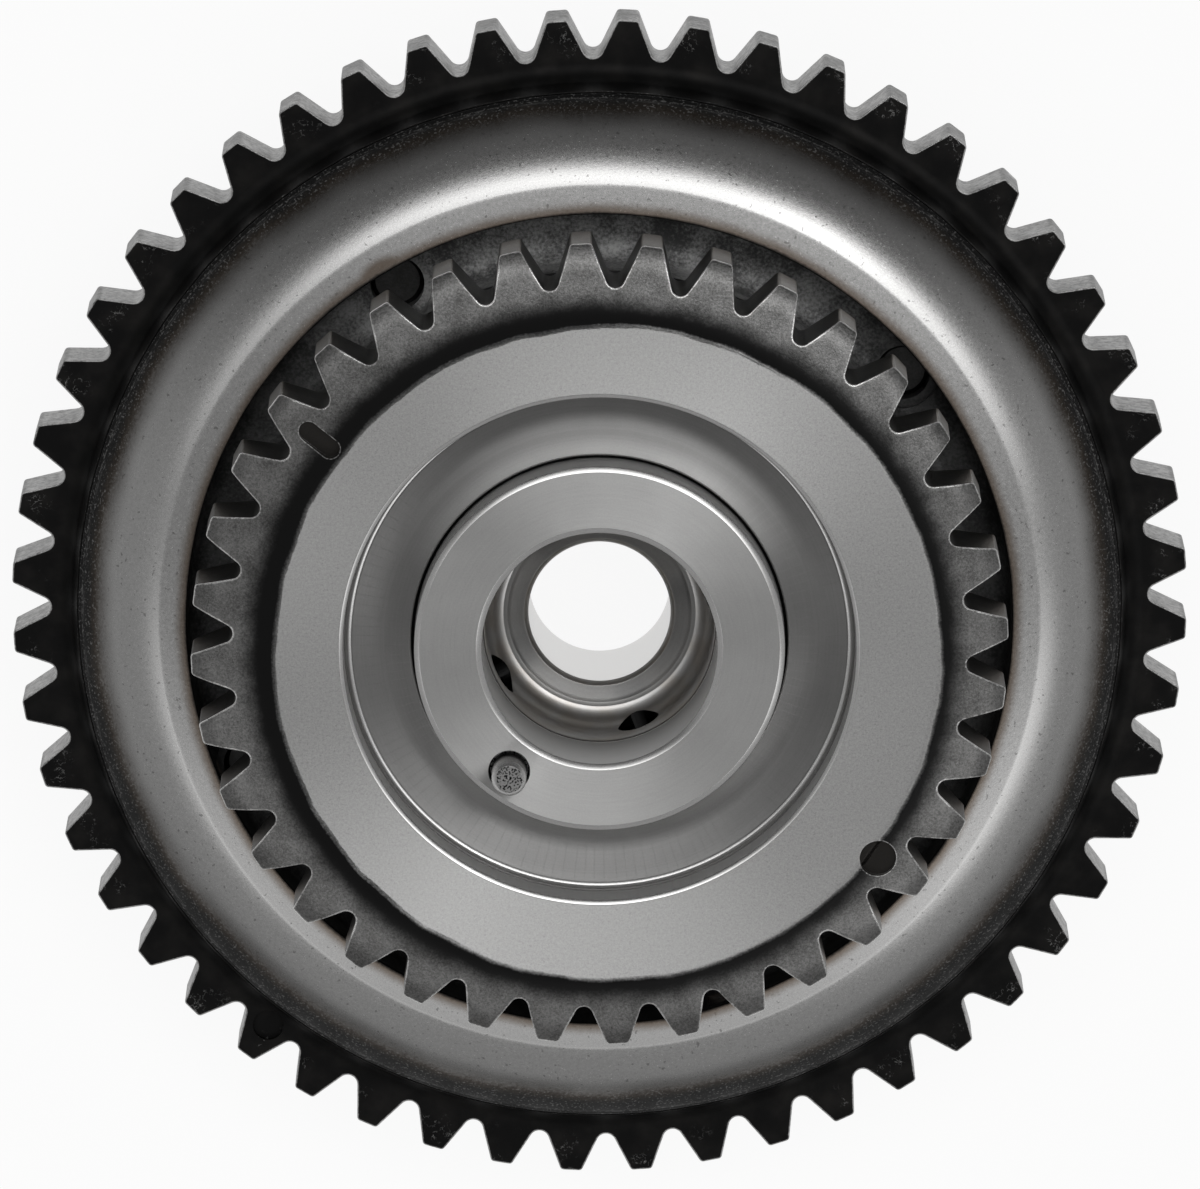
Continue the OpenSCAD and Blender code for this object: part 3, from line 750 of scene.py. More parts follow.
def small_rim_finish(name, roughness, relief_depth, grooved):
    """Ground face, a black band that fades to speckled grey teeth, thin bright worn edges and dark marks
    ringed by a painted highlight.
    """
    material, f = new_finish(name)
    wear_and_highlight = f.attribute("wear_and_highlight")
    grain = f.noise(7.0)
    speck = f.noise(3.4, 3.0, 0.7)
    cloud = f.noise(0.3, 3.0)
    offset = f.distance(GROUND_CENTRE)
    edge = GROUND_EDGE_R + (f.noise(0.2, 3.0) - 0.5) * 0.9 + (speck - 0.5) * 0.4
    ground = offset.rise(edge + 0.3, edge - 0.3)
    middle_r = (offset + f.r) * 0.5
    teeth = (middle_r + (cloud - 0.5) * 1.2 + (speck - 0.5) * 0.5).rise(*TEETH_FADE)
    pits = f.noise(3.2, shift=7.0).rise(0.62, 0.70) * 0.14
    tone = 0.96 + (speck - 0.5) * 0.6 + (grain - 0.5) * 0.5
    lapped = f.mix(pits, f.scaled(LAPPED_STEEL, tone), OXIDE_GREY)
    blend = (speck * 0.5 + grain * 0.3 + cloud * 0.3).rise(0.33, 0.78)
    speckled = f.mix(blend, TOOTH_DARK, TOOTH_LIGHT)
    face = f.mix(ground, f.mix(teeth, BAND_BLACK, speckled), lapped)
    worn = (wear_and_highlight + (speck - 0.5) + (cloud - 0.5)).rise(0.6, 1.2)
    sunk = f.z.rise(*MARK_FLOOR)
    round_mark = f.distance(at(MARKS_R, ROUND_MARK_ANGLE)) - ROUND_MARK_R
    oval = f.slot_distance(OVAL_MARK_ANGLE, MARKS_R, OVAL_REACH) - OVAL_WIDTH / 2
    mark = round_mark.least(oval)
    # A thin bright line round the marks' rims: a painted highlight.
    outline = mark.line(0.05, 0.09) * speck.rise(0.35, 0.6) * 0.6
    marked = f.mix(outline, f.mix(worn, face, BARE_STEEL), BARE_STEEL)
    colour = f.mix(mark.rise(0.0, -0.05) * sunk, marked, OXIDE_GREY)
    relief = grain * (relief_depth / 2) + speck * relief_depth
    grooves = (f.r - GROUND_EDGE_R) * ground * TURNED_SLOPE if grooved else None
    f.surface(colour, roughness - worn * 0.08 + (speck - 0.5) * 0.12, relief, 1.0, grooves)
    return material


def turned_metal(f, steel):
    """What turned pieces share: grooved flats, crisp bevels and duller outer walls."""
    grain = f.noise(6.0)
    cloud = f.noise(0.25, 3.0)
    flat = abs(f.up)
    level_face = flat.rise(0.95, 0.985)
    bevel = flat.rise(0.15, 0.35) * (1 - level_face)
    fine = f.rings(f.r, 3.0, 3.0) * flat + f.rings(f.z, 3.0, 3.0) * (1 - flat)
    brush = f.noise(2.4, 3.0, 0.7, f.sweep(3.0, f.r * 2.2 + f.z * 2.2))
    shade = 0.96 + (fine - 0.5) * 0.12 + (brush - 0.5) * 0.14
    shade = shade + (cloud - 0.5) * 0.14 + (grain - 0.5) * 0.2
    colour = f.scaled(f.mix(level_face, BARE_STEEL, steel), shade)
    roughness = 0.33 - bevel * 0.13 + (brush - 0.5) * 0.08
    relief = fine * 0.0012 + grain * 0.0010
    metallic = 1 - flat.rise(0.35, 0.15) * f.r.rise(*OUTER_WALL) * 0.6
    return colour, roughness, relief, metallic, f.r * (level_face * TURNED_SLOPE)


def turned_finish(name, steel, gap=0.0):
    """Turned metal; below the gap radius painted black as the gap's shade, and next to it, towards the back
    and front, painted paler as light that lifts the hub's shade.
    """
    material, f = new_finish(name)
    colour, roughness, relief, metallic, grooves = turned_metal(f, steel)
    if gap:
        # Painted light next to the gap, and painted shade in it.
        painted_light_near_hub = f.r.rise(gap + 2.8, gap + 0.8) * abs(f.y / f.r).rise(0.3, 0.8)
        colour = f.scaled(colour, 1 + painted_light_near_hub * 0.5)
        colour = f.mix(f.r.rise(gap + 0.1, gap), colour, OXIDE_AND_SHADE_BLACK)
    f.surface(colour, roughness, relief, metallic, grooves)
    return material


def rotor_finish():
    """Turned rotor: stained below the step of its bore, the upper bore wall darker, the through hole's wall
    painted pale as light, and the oil holes and the gap round the dowel painted black as shade.
    """
    material, f = new_finish("rotor_turned")
    colour, roughness, relief, metallic, grooves = turned_metal(f, HUB_STEEL)
    wall = abs(f.up).rise(0.5, 0.2)
    bore = f.r.rise(*BORE_SIDE)
    upper = bore * f.z.rise(BORE_STEP_Z, BORE_STEP_Z + STEP_DROP) * wall
    lower = bore * f.z.rise(BORE_STEP_Z, BORE_STEP_Z - STEP_DROP)
    lower = lower * f.up.rise(0.98, 0.9) * f.z.rise(*BORE_LOW)
    # The through hole's wall is painted pale: painted light from the floor below.
    through = f.r.rise(*THROUGH_SIDE)
    stain = f.noise(0.35, 3.0).rise(0.3, 0.7)
    stained = f.mix(lower, colour, f.mix(stain * 0.5, SATIN_STEEL, STAIN_BROWN))
    toned = f.mix(through, f.mix(upper, stained, HUB_STEEL), PALE_PAINTED_LIGHT)
    # Painted shade: black in the dowel's gap and in the oil holes.
    black = f.distance(at(DOWEL_CIRCLE, DOWEL_ANGLE)).rise(*DOWEL_GAP_SHADE) * f.z.rise(*DOWEL_LOW)
    for edge in VANE_EDGES:
        hole = f.slot_distance(edge - OIL_HOLE_OFFSET, OIL_HOLE_MIDDLE, OIL_HOLE_REACH, OIL_HOLE_Z)
        black = black.most(hole.rise(*OIL_HOLE_SHADE))
    colour = f.mix(black, toned, OXIDE_AND_SHADE_BLACK)
    f.surface(colour, roughness + lower * 0.14, relief, metallic, grooves)
    return material


def dowel_finish():
    """Polished pin with a pitted, speckled end."""
    material, f = new_finish("dowel_pitted")
    grain = f.noise(8.0)
    pits = f.noise(4.2)
    end = f.up.rise(0.7, 0.95)
    spots = pits.rise(0.53, 0.58) * end
    colour = f.mix(spots, f.scaled(SATIN_STEEL, 1.0 - end * 0.45 + grain * 0.3), OXIDE_AND_SHADE_BLACK)
    f.surface(colour, 0.24 + end * 0.18 + spots * 0.1, grain * 0.004 - spots * 0.03)
    return material


def oxide_finish(name, dark, light):
    """Dull blackened steel with faint clouds, for bolts and springs."""
    material, f = new_finish(name)
    grain = f.noise(5.0)
    cloud = f.noise(0.5, 3.0)
    colour = f.mix(0.3 + (cloud * 0.5 + grain * 0.5).rise(0.3, 0.75) * 0.25, dark, light)
    f.surface(colour, 0.42 + (cloud - 0.5) * 0.1, grain * 0.006)
    return material


def seal_finish():
    """Moulded plastic of the seal strips."""
    material, f = new_finish("seal_moulded")
    grain = f.noise(7.0)
    colour = f.mix(f.noise(0.6, 3.0).rise(0.3, 0.7), SEAL_BLACK, SEAL_GREY)
    f.surface(colour, 0.45 + (grain - 0.5) * 0.12, grain * 0.004, 0.0)
    return material


# Toothed rims: one pitch of each, then copies

class Sector:
    """One tooth pitch of a rim, as rows of points round its section."""

    def __init__(self, rim):
        self.rim = rim
        self.stations = rim.stations()
        self.rows = []
        self.wear_and_highlight = []

    def circle(self, radius, height, wear_and_highlight=0.0):
        """A row at one radius and height; wear_and_highlight is how far its coating is worn, and on the lip
        by the shoulder it paints a highlight line.
        """
        ways = [p.normalized() for p, n in self.stations]
        self.rows.append([(radius * w.x, radius * w.y, height) for w in ways])
        self.wear_and_highlight.append(wear_and_highlight)

    def outline(self, inset, height, wear_and_highlight, most_r=math.inf):
        """The tooth outline moved inwards, within a radius; height is a function of the radius."""
        points = [p - n * inset for p, n in self.stations]
        points = [q * min(1.0, most_r / q.length) for q in points]
        self.rows.append([(q.x, q.y, height(q.length)) for q in points])
        self.wear_and_highlight.append(wear_and_highlight)

    def broken_edge(self, height, side, wear_and_highlight, steps=3):
        """A rounded edge from the face to the flank; side is 1 for an upper face and -1 for a lower."""
        marks = [math.pi / 2 * k / steps for k in range(steps + 1)]
        for mark in marks[::side]:
            drop = EDGE_BREAK * (1 - math.cos(mark)) * side
            self.outline(EDGE_BREAK * (1 - math.sin(mark)), lambda r, d=drop: height(r) - d, wear_and_highlight)

    def piece(self, name, finish):
        """The whole rim, from copies of this pitch."""
        shape = bmesh.new()
        layer = shape.verts.layers.float.new("wear_and_highlight")
        for row, wear_and_highlight in zip(loft(shape, self.rows, False), self.wear_and_highlight):
            for vert in row:
                vert[layer] = wear_and_highlight
        piece = new_piece(name, shape)
        repeat(piece, self.rim.teeth, TOOTH_REFERENCE, 2 * self.rim.half, finish)
        whole = bmesh.new()
        whole.from_mesh(piece.data)
        bmesh.ops.recalc_face_normals(whole, faces=whole.faces)
        whole.to_mesh(piece.data)
        whole.free()
        return piece


def level(height):
    """A flat face at one height."""
    return lambda r: height


def small_face(r):
    """Height of the small rim's face at a radius: sloped, and rolling off towards the tooth tips."""
    if r < SMALL.root_r:
        share = max(0.0, (r - GROUND_R) / (SMALL.root_r - GROUND_R))
        return GROUND_Z + (ROOT_Z - GROUND_Z) * share
    roll = max(0.0, r - SMALL.tip_r + ROLL_REACH)
    return ROOT_Z - (r - SMALL.root_r) * FACE_SLOPE - roll * roll * ROLL_RATE


def make_large_rim():
    """Large rim: the foot of the shoulder, the teeth and the front land."""
    sector = Sector(LARGE)
    for r, z, wear_and_highlight in FOOT_LIP:
        sector.circle(r, z, wear_and_highlight)
    foot_centre = (LARGE.root_r - FOOT_GAP, TOOTH_Z + FOOT_ROUND)
    for r, z in arc(foot_centre, FOOT_ROUND, 200, 268, 7):
        sector.circle(r, z)
    sector.outline(WEAR, level(TOOTH_Z), 0.0)
    sector.broken_edge(level(TOOTH_Z), 1, 1.0)
    sector.outline(0.0, level(TOOTH_Z - 2 * EDGE_BREAK), 0.85)
    sector.outline(0.0, level(FRONT_Z + 2 * EDGE_BREAK), 0.85)
    sector.broken_edge(level(FRONT_Z), -1, 1.0)
    sector.outline(WEAR, level(FRONT_Z), 0.0)
    sector.circle(RIM_R + EDGE_BREAK, FRONT_Z)
    sector.circle(RIM_R, FRONT_Z + EDGE_BREAK)
    for r, z in RELIEF_WALL:
        sector.circle(r, z)
    finish = large_rim_finish()
    piece = sector.piece("sprocket_large_rim", finish)
    mark = at(LARGE.root_r, math.degrees(TOOTH_REFERENCE))
    cut(piece, [rod(LARGE_MARK_R, TOOTH_Z - MARK_DEPTH, TOOTH_Z + LARGE_MARK_REACH, mark)])
    place(piece, "housing", ["sprocket"], "sprocket_steel", finish)


def make_small_rim():
    """Small rim: bearing, recess, ground face, sloped tooth faces, flanks and back."""
    sector = Sector(SMALL)
    width, height = RECESS_BEVEL
    inside_r = NECK_R - 1.0
    section = [(BEARING_R, INNER_Z), (BEARING_R, RECESS_Z - CHAMFER), (BEARING_R + CHAMFER, RECESS_Z)]
    corner = (RECESS_R - RECESS_FILLET, RECESS_Z + RECESS_FILLET)
    section += arc(corner, RECESS_FILLET, 270, 360, 8)
    section += [(RECESS_R, GROUND_Z - height), (RECESS_R + width, GROUND_Z), (GROUND_R, GROUND_Z)]
    section += [(inside_r, BACK_Z + 1.0), (inside_r, INNER_Z)]
    rounded = eased(section, RECESS_BREAK)
    split = next(i for i, p in enumerate(rounded) if p.x > GROUND_R - CHAMFER) + 1
    for r, z in rounded[:split]:
        sector.circle(r, z)
    sector.circle(BAND_R, small_face(BAND_R))
    sector.circle(FACE_MIDDLE_R, small_face(FACE_MIDDLE_R))
    for k in range(ROLL_ROWS):
        inset = WEAR + ROLL_INSET * (ROLL_ROWS + 1 - k)
        most_r = SMALL.tip_r - ROLL_REACH - ROLL_STEP * (1 - k)
        sector.outline(inset, small_face, ROLL_WEAR * k, most_r)
    sector.outline(WEAR, small_face, 0.3)
    sector.broken_edge(small_face, 1, 1.0)
    sector.outline(0.0, lambda r: small_face(r) - 2 * EDGE_BREAK, 0.45)
    sector.outline(0.0, level(BACK_Z + 2 * EDGE_BREAK), 0.45)
    sector.broken_edge(level(BACK_Z), -1, 0.8)
    sector.outline(WEAR, level(BACK_Z), 0.0)
    sector.circle(inside_r, BACK_Z)
    sector.circle(inside_r, INNER_Z)
    finish = small_rim_finish("small_teeth_oxide", 0.32, 0.022, False)
    ground = small_rim_finish("small_rim_ground", 0.33, 0.004, True)
    turned_face = turned_finish("recess_turned", RECESS_STEEL, BEARING_R + 0.3)
    piece = sector.piece("sprocket_small_rim", finish)
    low, high = ROOT_Z - MARK_DEPTH, GROUND_Z + CUT_PAST
    round_mark = rod(ROUND_MARK_R, low, high, at(MARKS_R, ROUND_MARK_ANGLE))
    cut(piece, [round_mark, prism(oval_outline(), low, high)])
    place(piece, "housing", ["sprocket"], "sprocket_steel", finish, ground, turned_face)
    for face in piece.data.polygons:
        r = Vector(face.center[:2]).length / MM
        face.material_index = 2 if r < RECESS_PAINT_R else int(r < BAND_R)


def oval_outline():
    """Outline of the oval mark, which lies along a radius."""
    half = OVAL_WIDTH / 2
    ends = arc((MARKS_R + OVAL_REACH, 0), half, -90, 90, 16)
    ends += arc((MARKS_R - OVAL_REACH, 0), half, 90, 270, 16)
    return [turned(p, math.radians(OVAL_MARK_ANGLE)) for p in ends]


def slotted_arc(radius, floor_r, start, middle, end, steps):
    """An arc with a seal's slot at its middle angle; steps are those before and after it."""
    swing = math.degrees(math.asin(SLOT_HALF / radius))
    turn = math.radians(middle)
    points = arc((0, 0), radius, start, middle - swing, steps[0])
    points.append(turned(Vector((floor_r, -SLOT_HALF)), turn))
    points.append(turned(Vector((floor_r, SLOT_HALF)), turn))
    return points + arc((0, 0), radius, middle + swing, end, steps[1])


def chamber_outline():
    """The vane chambers, the bearing between the lobes and the lobes' seal slots, seen from above."""
    points = []
    lobe = VANE_PITCH - VANE_WIDTHS[0] - TRAVEL - 2 * STOP_GAP
    for edge, width in zip(VANE_EDGES, VANE_WIDTHS):
        start = edge - STOP_GAP
        end = edge + width + TRAVEL + STOP_GAP
        points += arc((0, 0), CHAMBER_R, start, end, 40)
        points += slotted_arc(LOBE_R, LOBE_SLOT_R, end, end + lobe / 2, end + lobe, (10, 10))
    return points


def make_shoulder():
    """The sprocket's body: neck, groove, domed shoulder, relief, cover land and vane chamber."""
    half_bend = math.radians(SHOULDER_BEND / 2)
    chord = Vector((SHOULDER_FOOT_R - RING_R, SHOULDER_FOOT_Z - RING_Z))
    radius = chord.length / 2 / math.sin(half_bend)
    tilt = math.degrees(math.atan2(-chord.y, chord.x))
    middle = Vector((SHOULDER_FOOT_R + RING_R, SHOULDER_FOOT_Z + RING_Z)) / 2
    sink = radius * math.cos(half_bend)
    centre = middle - sink * direction(math.radians(90 - tilt))
    crease = math.degrees(math.acos((CREASE_R - centre.x) / radius))
    bearing_r = BEARING_R + 0.02
    section = [(bearing_r, FRONT_Z), (bearing_r, BEARING_TOP_Z), (bearing_r + 0.8, BODY_TOP_Z),
               (NECK_R - 0.6, BODY_TOP_Z), (NECK_R, NECK_TOP_Z)]
    fillet_z = GROOVE_Z + GROOVE_FILLET
    section += arc((NECK_R + GROOVE_FILLET, fillet_z), GROOVE_FILLET, 180, 270, 6)
    section += arc((RING_R - GROOVE_FILLET, fillet_z), GROOVE_FILLET, 270, 360, 6)
    section.append((RING_R, RING_Z))
    section += arc(centre, radius, crease, 90 - tilt - SHOULDER_BEND / 2, 34)
    section += FOOT_STEP
    section += [(FOOT_STEP[-1][0], RELIEF_Z), (RELIEF_R + CHAMFER, RELIEF_Z), (RELIEF_R, FRONT_Z)]
    piece = new_piece("sprocket_shoulder", revolve(eased(section, SHOULDER_BREAK), SHOULDER_STEPS))
    places = [at(BOLT_CIRCLE, a) for a in BOLT_ANGLES]
    front = FRONT_Z - CUT_PAST
    cut(piece, [rod(RUN_OUT_R, GROOVE_Z - RUN_OUT_SINK, RUN_OUT_Z, p) for p in places])
    threads = [rod(THREAD_R, front, GROOVE_Z, p) for p in places]
    cut(piece, threads + [prism(chamber_outline(), front, CHAMBER_Z)])
    seat = rod(SEAT_R, CHAMBER_Z - CUT_PAST, CHAMBER_Z + SEAT_HEIGHT, at(PIN_CIRCLE, PIN_ANGLE))
    cut(piece, [seat])
    place(piece, "housing", ["sprocket"], "sprocket_steel", shoulder_finish())


# Rotor, dowel, cover and bolts

def vane_shape(edge, width):
    """One vane with the slot for its seal."""
    end = edge + width
    middle = end - VANE_WIDTHS[0] / 2
    points = slotted_arc(VANE_R, VANE_SLOT_R, edge, middle, end, (16, 8))
    points += arc((0, 0), VANE_ROOT_R, end, edge, 12)
    return prism(points, VANE_Z, VANE_TOP_Z)


def make_rotor():
    """Rotor: front boss, core, vanes and the hub with its stepped bore, oil holes and dowel hole."""
    hub_width, hub_drop = HUB_BEVEL
    bore_width, bore_drop = BORE_BEVEL
    boss_edge_z = BOSS_Z + CHAMFER
    section = [(BOLT_HOLE_R + CHAMFER, BOSS_Z), (BOSS_R - CHAMFER, BOSS_Z), (BOSS_R, boss_edge_z),
               (BOSS_R, VANE_Z), (CORE_R, VANE_Z), (CORE_R, VANE_TOP_Z), (HUB_R, VANE_TOP_Z),
               (HUB_R, HUB_Z - hub_drop), (HUB_R - hub_width, HUB_Z), (BORE_R + bore_width, HUB_Z),
               (BORE_R, HUB_Z - bore_drop), (BORE_R, BORE_STEP_Z), (LOWER_BORE_R, BORE_STEP_Z - STEP_DROP)]
    section += arc((LOWER_BORE_R - BOWL_R, BORE_FLOOR_Z + BOWL_R), BOWL_R, 0, -90, 10)
    section += [(BOLT_HOLE_R + CHAMFER, BORE_FLOOR_Z), (BOLT_HOLE_R, BORE_FLOOR_Z - CHAMFER),
                (BOLT_HOLE_R, boss_edge_z)]
    piece = new_piece("rotor_hub", revolve(eased(section, ROTOR_BREAK)))
    high = HUB_Z + CUT_PAST
    seat = [(0, DOWEL_SEAT_Z), (DOWEL_R, DOWEL_SEAT_Z), (DOWEL_R, DOWEL_MOUTH_Z),
            (DOWEL_MOUTH_R, DOWEL_MOUTH_Z), (DOWEL_MOUTH_R, high), (0, high)]
    holes = [revolve(seat, SMALL_STEPS, at(DOWEL_CIRCLE, DOWEL_ANGLE))]
    holes += [oil_hole(edge - OIL_HOLE_OFFSET) for edge in VANE_EDGES]
    cut(piece, holes)
    shapes = [vane_shape(edge, width) for edge, width in zip(VANE_EDGES, VANE_WIDTHS)]
    vanes = new_piece("rotor_vanes", joined(shapes))
    low, high = FRONT_Z - CUT_PAST, CHAMBER_Z + CUT_PAST
    pocket = [(0, low), (RETAINER_R, low), (RETAINER_R, SPRING_Z),
              (PIN_BORE_R, SPRING_Z), (PIN_BORE_R, high), (0, high)]
    cut(vanes, [revolve(pocket, SMALL_STEPS, at(PIN_CIRCLE, PIN_ANGLE))])
    finish = rotor_finish()
    place(piece, "rotor", ["rotor"], "rotor_steel", finish)
    place(vanes, "rotor", ["rotor"], "rotor_steel", finish)


def oil_hole(degrees):
    """A radial drilling from the bore to the vane chamber."""
    shape = rod(OIL_HOLE_R, LOWER_BORE_R - BOWL_R, CORE_R + CUT_PAST, (0, 0), HOLE_STEPS)
    lay = Matrix.Rotation(math.pi / 2, 4, "Y")
    spin = Matrix.Rotation(math.radians(degrees), 4, "Z")
    lift = Matrix.Translation((0, 0, OIL_HOLE_Z))
    bmesh.ops.transform(shape, matrix=lift @ spin @ lay, verts=shape.verts)
    return shape


def make_dowel():
    """Dowel pin that stands out of the hub face."""
    section = [(0, DOWEL_SEAT_Z), (DOWEL_R, DOWEL_SEAT_Z), (DOWEL_R, DOWEL_MOUTH_Z),
               (DOWEL_FREE_R, DOWEL_MOUTH_Z), (DOWEL_FREE_R, DOWEL_TOP_Z - DOWEL_CHAMFER),
               (DOWEL_FREE_R - DOWEL_CHAMFER, DOWEL_TOP_Z), (DOWEL_END_R, DOWEL_TOP_Z), (0, DOWEL_TOP_Z)]
    shape = revolve(eased(section, DOWEL_BREAK), SMALL_STEPS, at(DOWEL_CIRCLE, DOWEL_ANGLE))
    piece = new_piece("camshaft_dowel_pin", shape)
    place(piece, "rotor", ["camshaft_dowel"], "pin_steel", dowel_finish())


def make_cover():
    """Front cover plate with its bolt and dowel holes."""
    hole_r = BOSS_R + BOSS_GAP
    edge_z = COVER_Z + CHAMFER
    section = [(hole_r + CHAMFER, COVER_Z), (COVER_R - CHAMFER, COVER_Z), (COVER_R, edge_z),
               (COVER_R, FRONT_Z), (hole_r, FRONT_Z), (hole_r, edge_z)]
    piece = new_piece("front_cover_plate", revolve(eased(section)))
    low, high = COVER_Z - CUT_PAST, FRONT_Z + CUT_PAST
    holes = [rod(BOLT_CLEAR_R, low, high, at(BOLT_CIRCLE, a)) for a in BOLT_ANGLES]
    holes += [rod(COVER_DOWEL_R, low, high, at(BOLT_CIRCLE, a)) for a in COVER_DOWEL_ANGLES]
    cut(piece, holes)
    finish = turned_finish("cover_turned", HUB_STEEL)
    place(piece, "housing", ["front_cover"], "cover_steel", finish)


def make_bolts():
    """Flanged hexagon bolts that hold the cover, heads down."""
    side = math.pi / 3
    stations = [2 * math.pi * i / SMALL_STEPS for i in range(SMALL_STEPS)]
    hexagon = [HEX_FLATS / 2 / math.cos((a + side / 2) % side - side / 2) for a in stations]
    rings = [[(0.0, 0.0)] * SMALL_STEPS, [(HEX_CHAMFER_R, 0.0)] * SMALL_STEPS]
    rings.append([(r, (r - HEX_CHAMFER_R) * math.tan(HEX_CHAMFER)) for r in hexagon])
    rings.append([(r, HEX_TOP_Z) for r in hexagon])
    rings += [[point] * SMALL_STEPS for point in BOLT_PROFILE]
    rows = [[(BOLT_CIRCLE + r * math.cos(a), r * math.sin(a), z) for (r, z), a in zip(ring, stations)]
            for ring in rings]
    shape = bmesh.new()
    loft(shape, rows, True)
    piece = new_piece("cover_bolt_set", closed(shape))
    finish = oxide_finish("bolt_blackened", OXIDE_AND_SHADE_BLACK, DULL_STEEL)
    first, second = (math.radians(a) for a in BOLT_ANGLES[:2])
    repeat(piece, len(BOLT_ANGLES), first, second - first, finish, 0.0)
    place(piece, "housing", ["cover_bolts"], "bolt_steel", finish)


def make_lock_spring(finish):
    """Coil of round wire under the lock pin."""
    x, y = at(PIN_CIRCLE, PIN_ANGLE)
    stages = COIL_TURNS * COIL_STEPS
    climb = SPRING_TOP_Z - SPRING_Z - 2 * WIRE_R
    wire = [direction(2 * math.pi * j / WIRE_STEPS) * WIRE_R for j in range(WIRE_STEPS)]
    rows = []
    for i in range(stages + 1):
        way = direction(math.radians(PIN_ANGLE) + 2 * math.pi * i / COIL_STEPS)
        z = SPRING_Z + WIRE_R + climb * i / stages
        rows.append([(x + (COIL_R + w.x) * way.x, y + (COIL_R + w.x) * way.y, z + w.y) for w in wire])
    shape = bmesh.new()
    grid = loft(shape, rows, True, False)
    shape.faces.new(grid[0])
    shape.faces.new(grid[-1])
    piece = new_piece("lock_pin_coil", closed(shape))
    place(piece, "rotor", ["lock_pin_spring"], "spring_steel", finish)
    x * MM
    y * MM
    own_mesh(piece)


def dress_hidden_nodes(spring):
    """Materials for the CAD nodes that stay: seals, springs, lock pin, its seat and retainer, dowels."""
    seal = seal_finish()
    pin = turned_finish("pin_ground", HUB_STEEL)
    for name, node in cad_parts.items():
        if not node.hide_render:
            finish = spring if "spring" in name else seal if "seal" in name else pin
            node.data.materials.clear()
            node.data.materials.append(finish)


# Floor, light and camera

FLOOR_WHITE = (0.92, 0.92, 0.92)
FLOOR_GLOW = 0.92
FLOOR_SIZE = 3000.0
FLOOR_DROP = 0.05
BASE_GLOW = 0.35
RING_OUT = 0.61
RING_SHIFT = 0.085
RING_WIDTH = 0.085
RING_STRENGTH = 0.22
KEY_STRENGTH = 2.9
GLINT_STRENGTH = 3.0
STREAK_WIDTH = 0.05
KEY_ANGLE = math.radians(72)
RIGHT_ANGLE = math.radians(-33)
LEFT_ANGLE = math.radians(212)
GLINT_ANGLE = math.radians(56)
BACK_LEFT_ANGLE = math.radians(140)


def make_floor():
    """Pale floor that shows white and keeps a faint shadow; from below it is clear."""
    shape = bmesh.new()
    bmesh.ops.create_grid(shape, x_segments=1, y_segments=1, size=FLOOR_SIZE)
    bmesh.ops.translate(shape, vec=(0, 0, -FLOOR_DROP), verts=shape.verts)
    floor = new_piece("floor", shape)
    material = bpy.data.materials.new("floor_white")
    material.use_nodes = True
    f = Finish(material.node_tree)
    seen, mirrors, passes = (f.node("ShaderNodeLightPath", output=f"Is {kind} Ray")
                             for kind in ("Camera", "Glossy", "Transmission"))
    seen = seen.most(mirrors).most(passes)
    paper = f.node("ShaderNodeBsdfDiffuse", {}, {"Color": FLOOR_WHITE})
    glow = f.node("ShaderNodeEmission", {}, {"Color": (1.0, 1.0, 1.0), "Strength": 1.0})
    skin = f.node("ShaderNodeMixShader", {}, {0: seen * FLOOR_GLOW, 1: paper, 2: glow})
    behind = f.node("ShaderNodeNewGeometry", output="Backfacing")
    clear = f.node("ShaderNodeBsdfTransparent")
    whole = f.node("ShaderNodeMixShader", {}, {0: behind, 1: skin, 2: clear})
    f.node("ShaderNodeOutputMaterial", {}, {"Surface": whole})
    floor.data.materials.append(material)


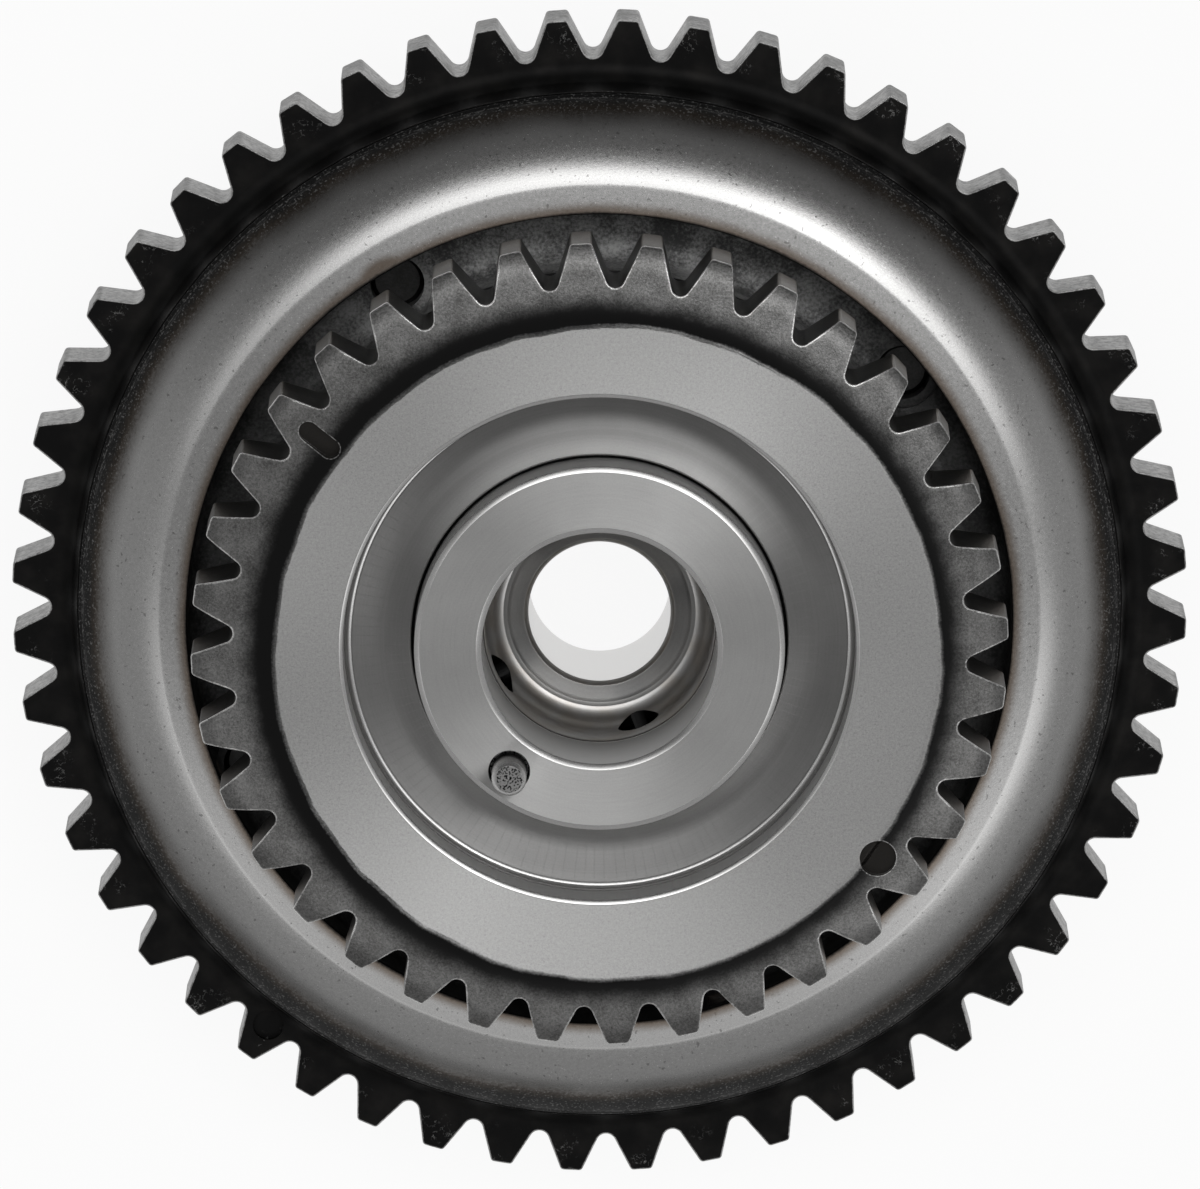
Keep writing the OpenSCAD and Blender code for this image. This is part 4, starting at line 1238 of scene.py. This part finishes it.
def make_light():
    """Soft studio: a ring of light overhead, strongest behind the part, weaker in front and beside it."""
    world = bpy.data.worlds.new("studio")
    bpy.context.scene.world = world
    world.use_nodes = True
    f = Finish(world.node_tree)
    way = f.node("ShaderNodeTexCoord", output="Generated")
    x = f.node("ShaderNodeSeparateXYZ", {}, {0: way}, "X")
    y = f.node("ShaderNodeSeparateXYZ", {}, {0: way}, "Y") + RING_SHIFT
    out = (x * x + y * y).root()
    back = y / out
    key, right, left, glint, back_left = (
        (x * math.cos(a) + y * math.sin(a)) / out
        for a in (KEY_ANGLE, RIGHT_ANGLE, LEFT_ANGLE, GLINT_ANGLE, BACK_LEFT_ANGLE))
    lower_right = right.rise(0.85, 0.99)
    lower_left = left.rise(0.85, 0.99)
    middle = RING_OUT - back.rise(0.0, -0.9) * 0.09 + lower_right * 0.05 + lower_left * 0.03
    off = abs(out - middle)
    ring = (off / (RING_WIDTH + back * 0.01 + lower_right * 0.03)).rise(1.6, 0.4)
    behind = out.rise(0.62, 0.82) * back.rise(0.2, 0.85) * 0.28
    before = out.rise(0.88, 0.92) * back.rise(-0.3, -0.95) * 0.25
    halo = out.rise(0.1, 0.42) * out.rise(0.62, 0.5) * key.rise(0.1, 0.9) * 0.35
    front = back.rise(0.1, -0.6) * 0.6 + lower_right * 0.8 + lower_left * 0.4
    side = abs(back).rise(0.5, 0.1)
    strength = RING_STRENGTH - side * 0.2 + front + key.rise(0.3, 0.97) * KEY_STRENGTH
    strength = strength + glint.rise(0.997, 0.9995) * GLINT_STRENGTH
    streak = (off / STREAK_WIDTH).rise(1.2, 0.3) * back_left.rise(0.8, 0.97)
    glow = BASE_GLOW + out.rise(0.6, 0.8) * 0.07 - behind - before + halo + streak + ring * strength
    seen = f.node("ShaderNodeLightPath", output="Is Camera Ray")
    shade = seen + glow * (1 - seen)
    light = f.node("ShaderNodeBackground", {}, {"Color": shade, "Strength": 1.0})
    f.node("ShaderNodeOutputWorld", {}, {"Surface": light})


# Camera: tilt, distance, photo pixels per millimetre, picture width and where the axis lies
VIEW_TILT = math.radians(11.55)
VIEW_DISTANCE = 1500.0
VIEW_SCALE = 8.841
IMAGE_WIDTH = 1200
SENSOR = 36.0
FACE_CENTRE = (-0.5, -5.8)


def make_camera():
    """Camera at the photograph's angle, so far away that the rims are nearly true circles."""
    right = Vector((1, 0, 0))
    up = Vector((0, math.cos(VIEW_TILT), -math.sin(VIEW_TILT)))
    back = Vector((0, math.sin(VIEW_TILT), math.cos(VIEW_TILT)))
    aim = Vector((0, 0, TOOTH_Z)) - (right * FACE_CENTRE[0] + up * FACE_CENTRE[1]) / VIEW_SCALE
    camera = bpy.data.objects.new("camera", bpy.data.cameras.new("camera"))
    bpy.context.scene.collection.objects.link(camera)
    camera.data.sensor_width = SENSOR
    camera.data.lens = SENSOR * VIEW_SCALE * VIEW_DISTANCE / IMAGE_WIDTH
    turn = Matrix((right, up, back)).transposed().to_4x4()
    camera.matrix_world = Matrix.Translation((aim + back * VIEW_DISTANCE) * MM) @ turn
    bpy.context.scene.camera = camera


make_large_rim()
make_small_rim()
make_shoulder()
make_rotor()
make_dowel()
make_cover()
make_bolts()
spring_finish = oxide_finish("spring_blued", OXIDE_GREY, DULL_STEEL)
make_lock_spring(spring_finish)
dress_hidden_nodes(spring_finish)
make_floor()
make_light()
make_camera()
bpy.context.scene.view_settings.view_transform = "Standard"
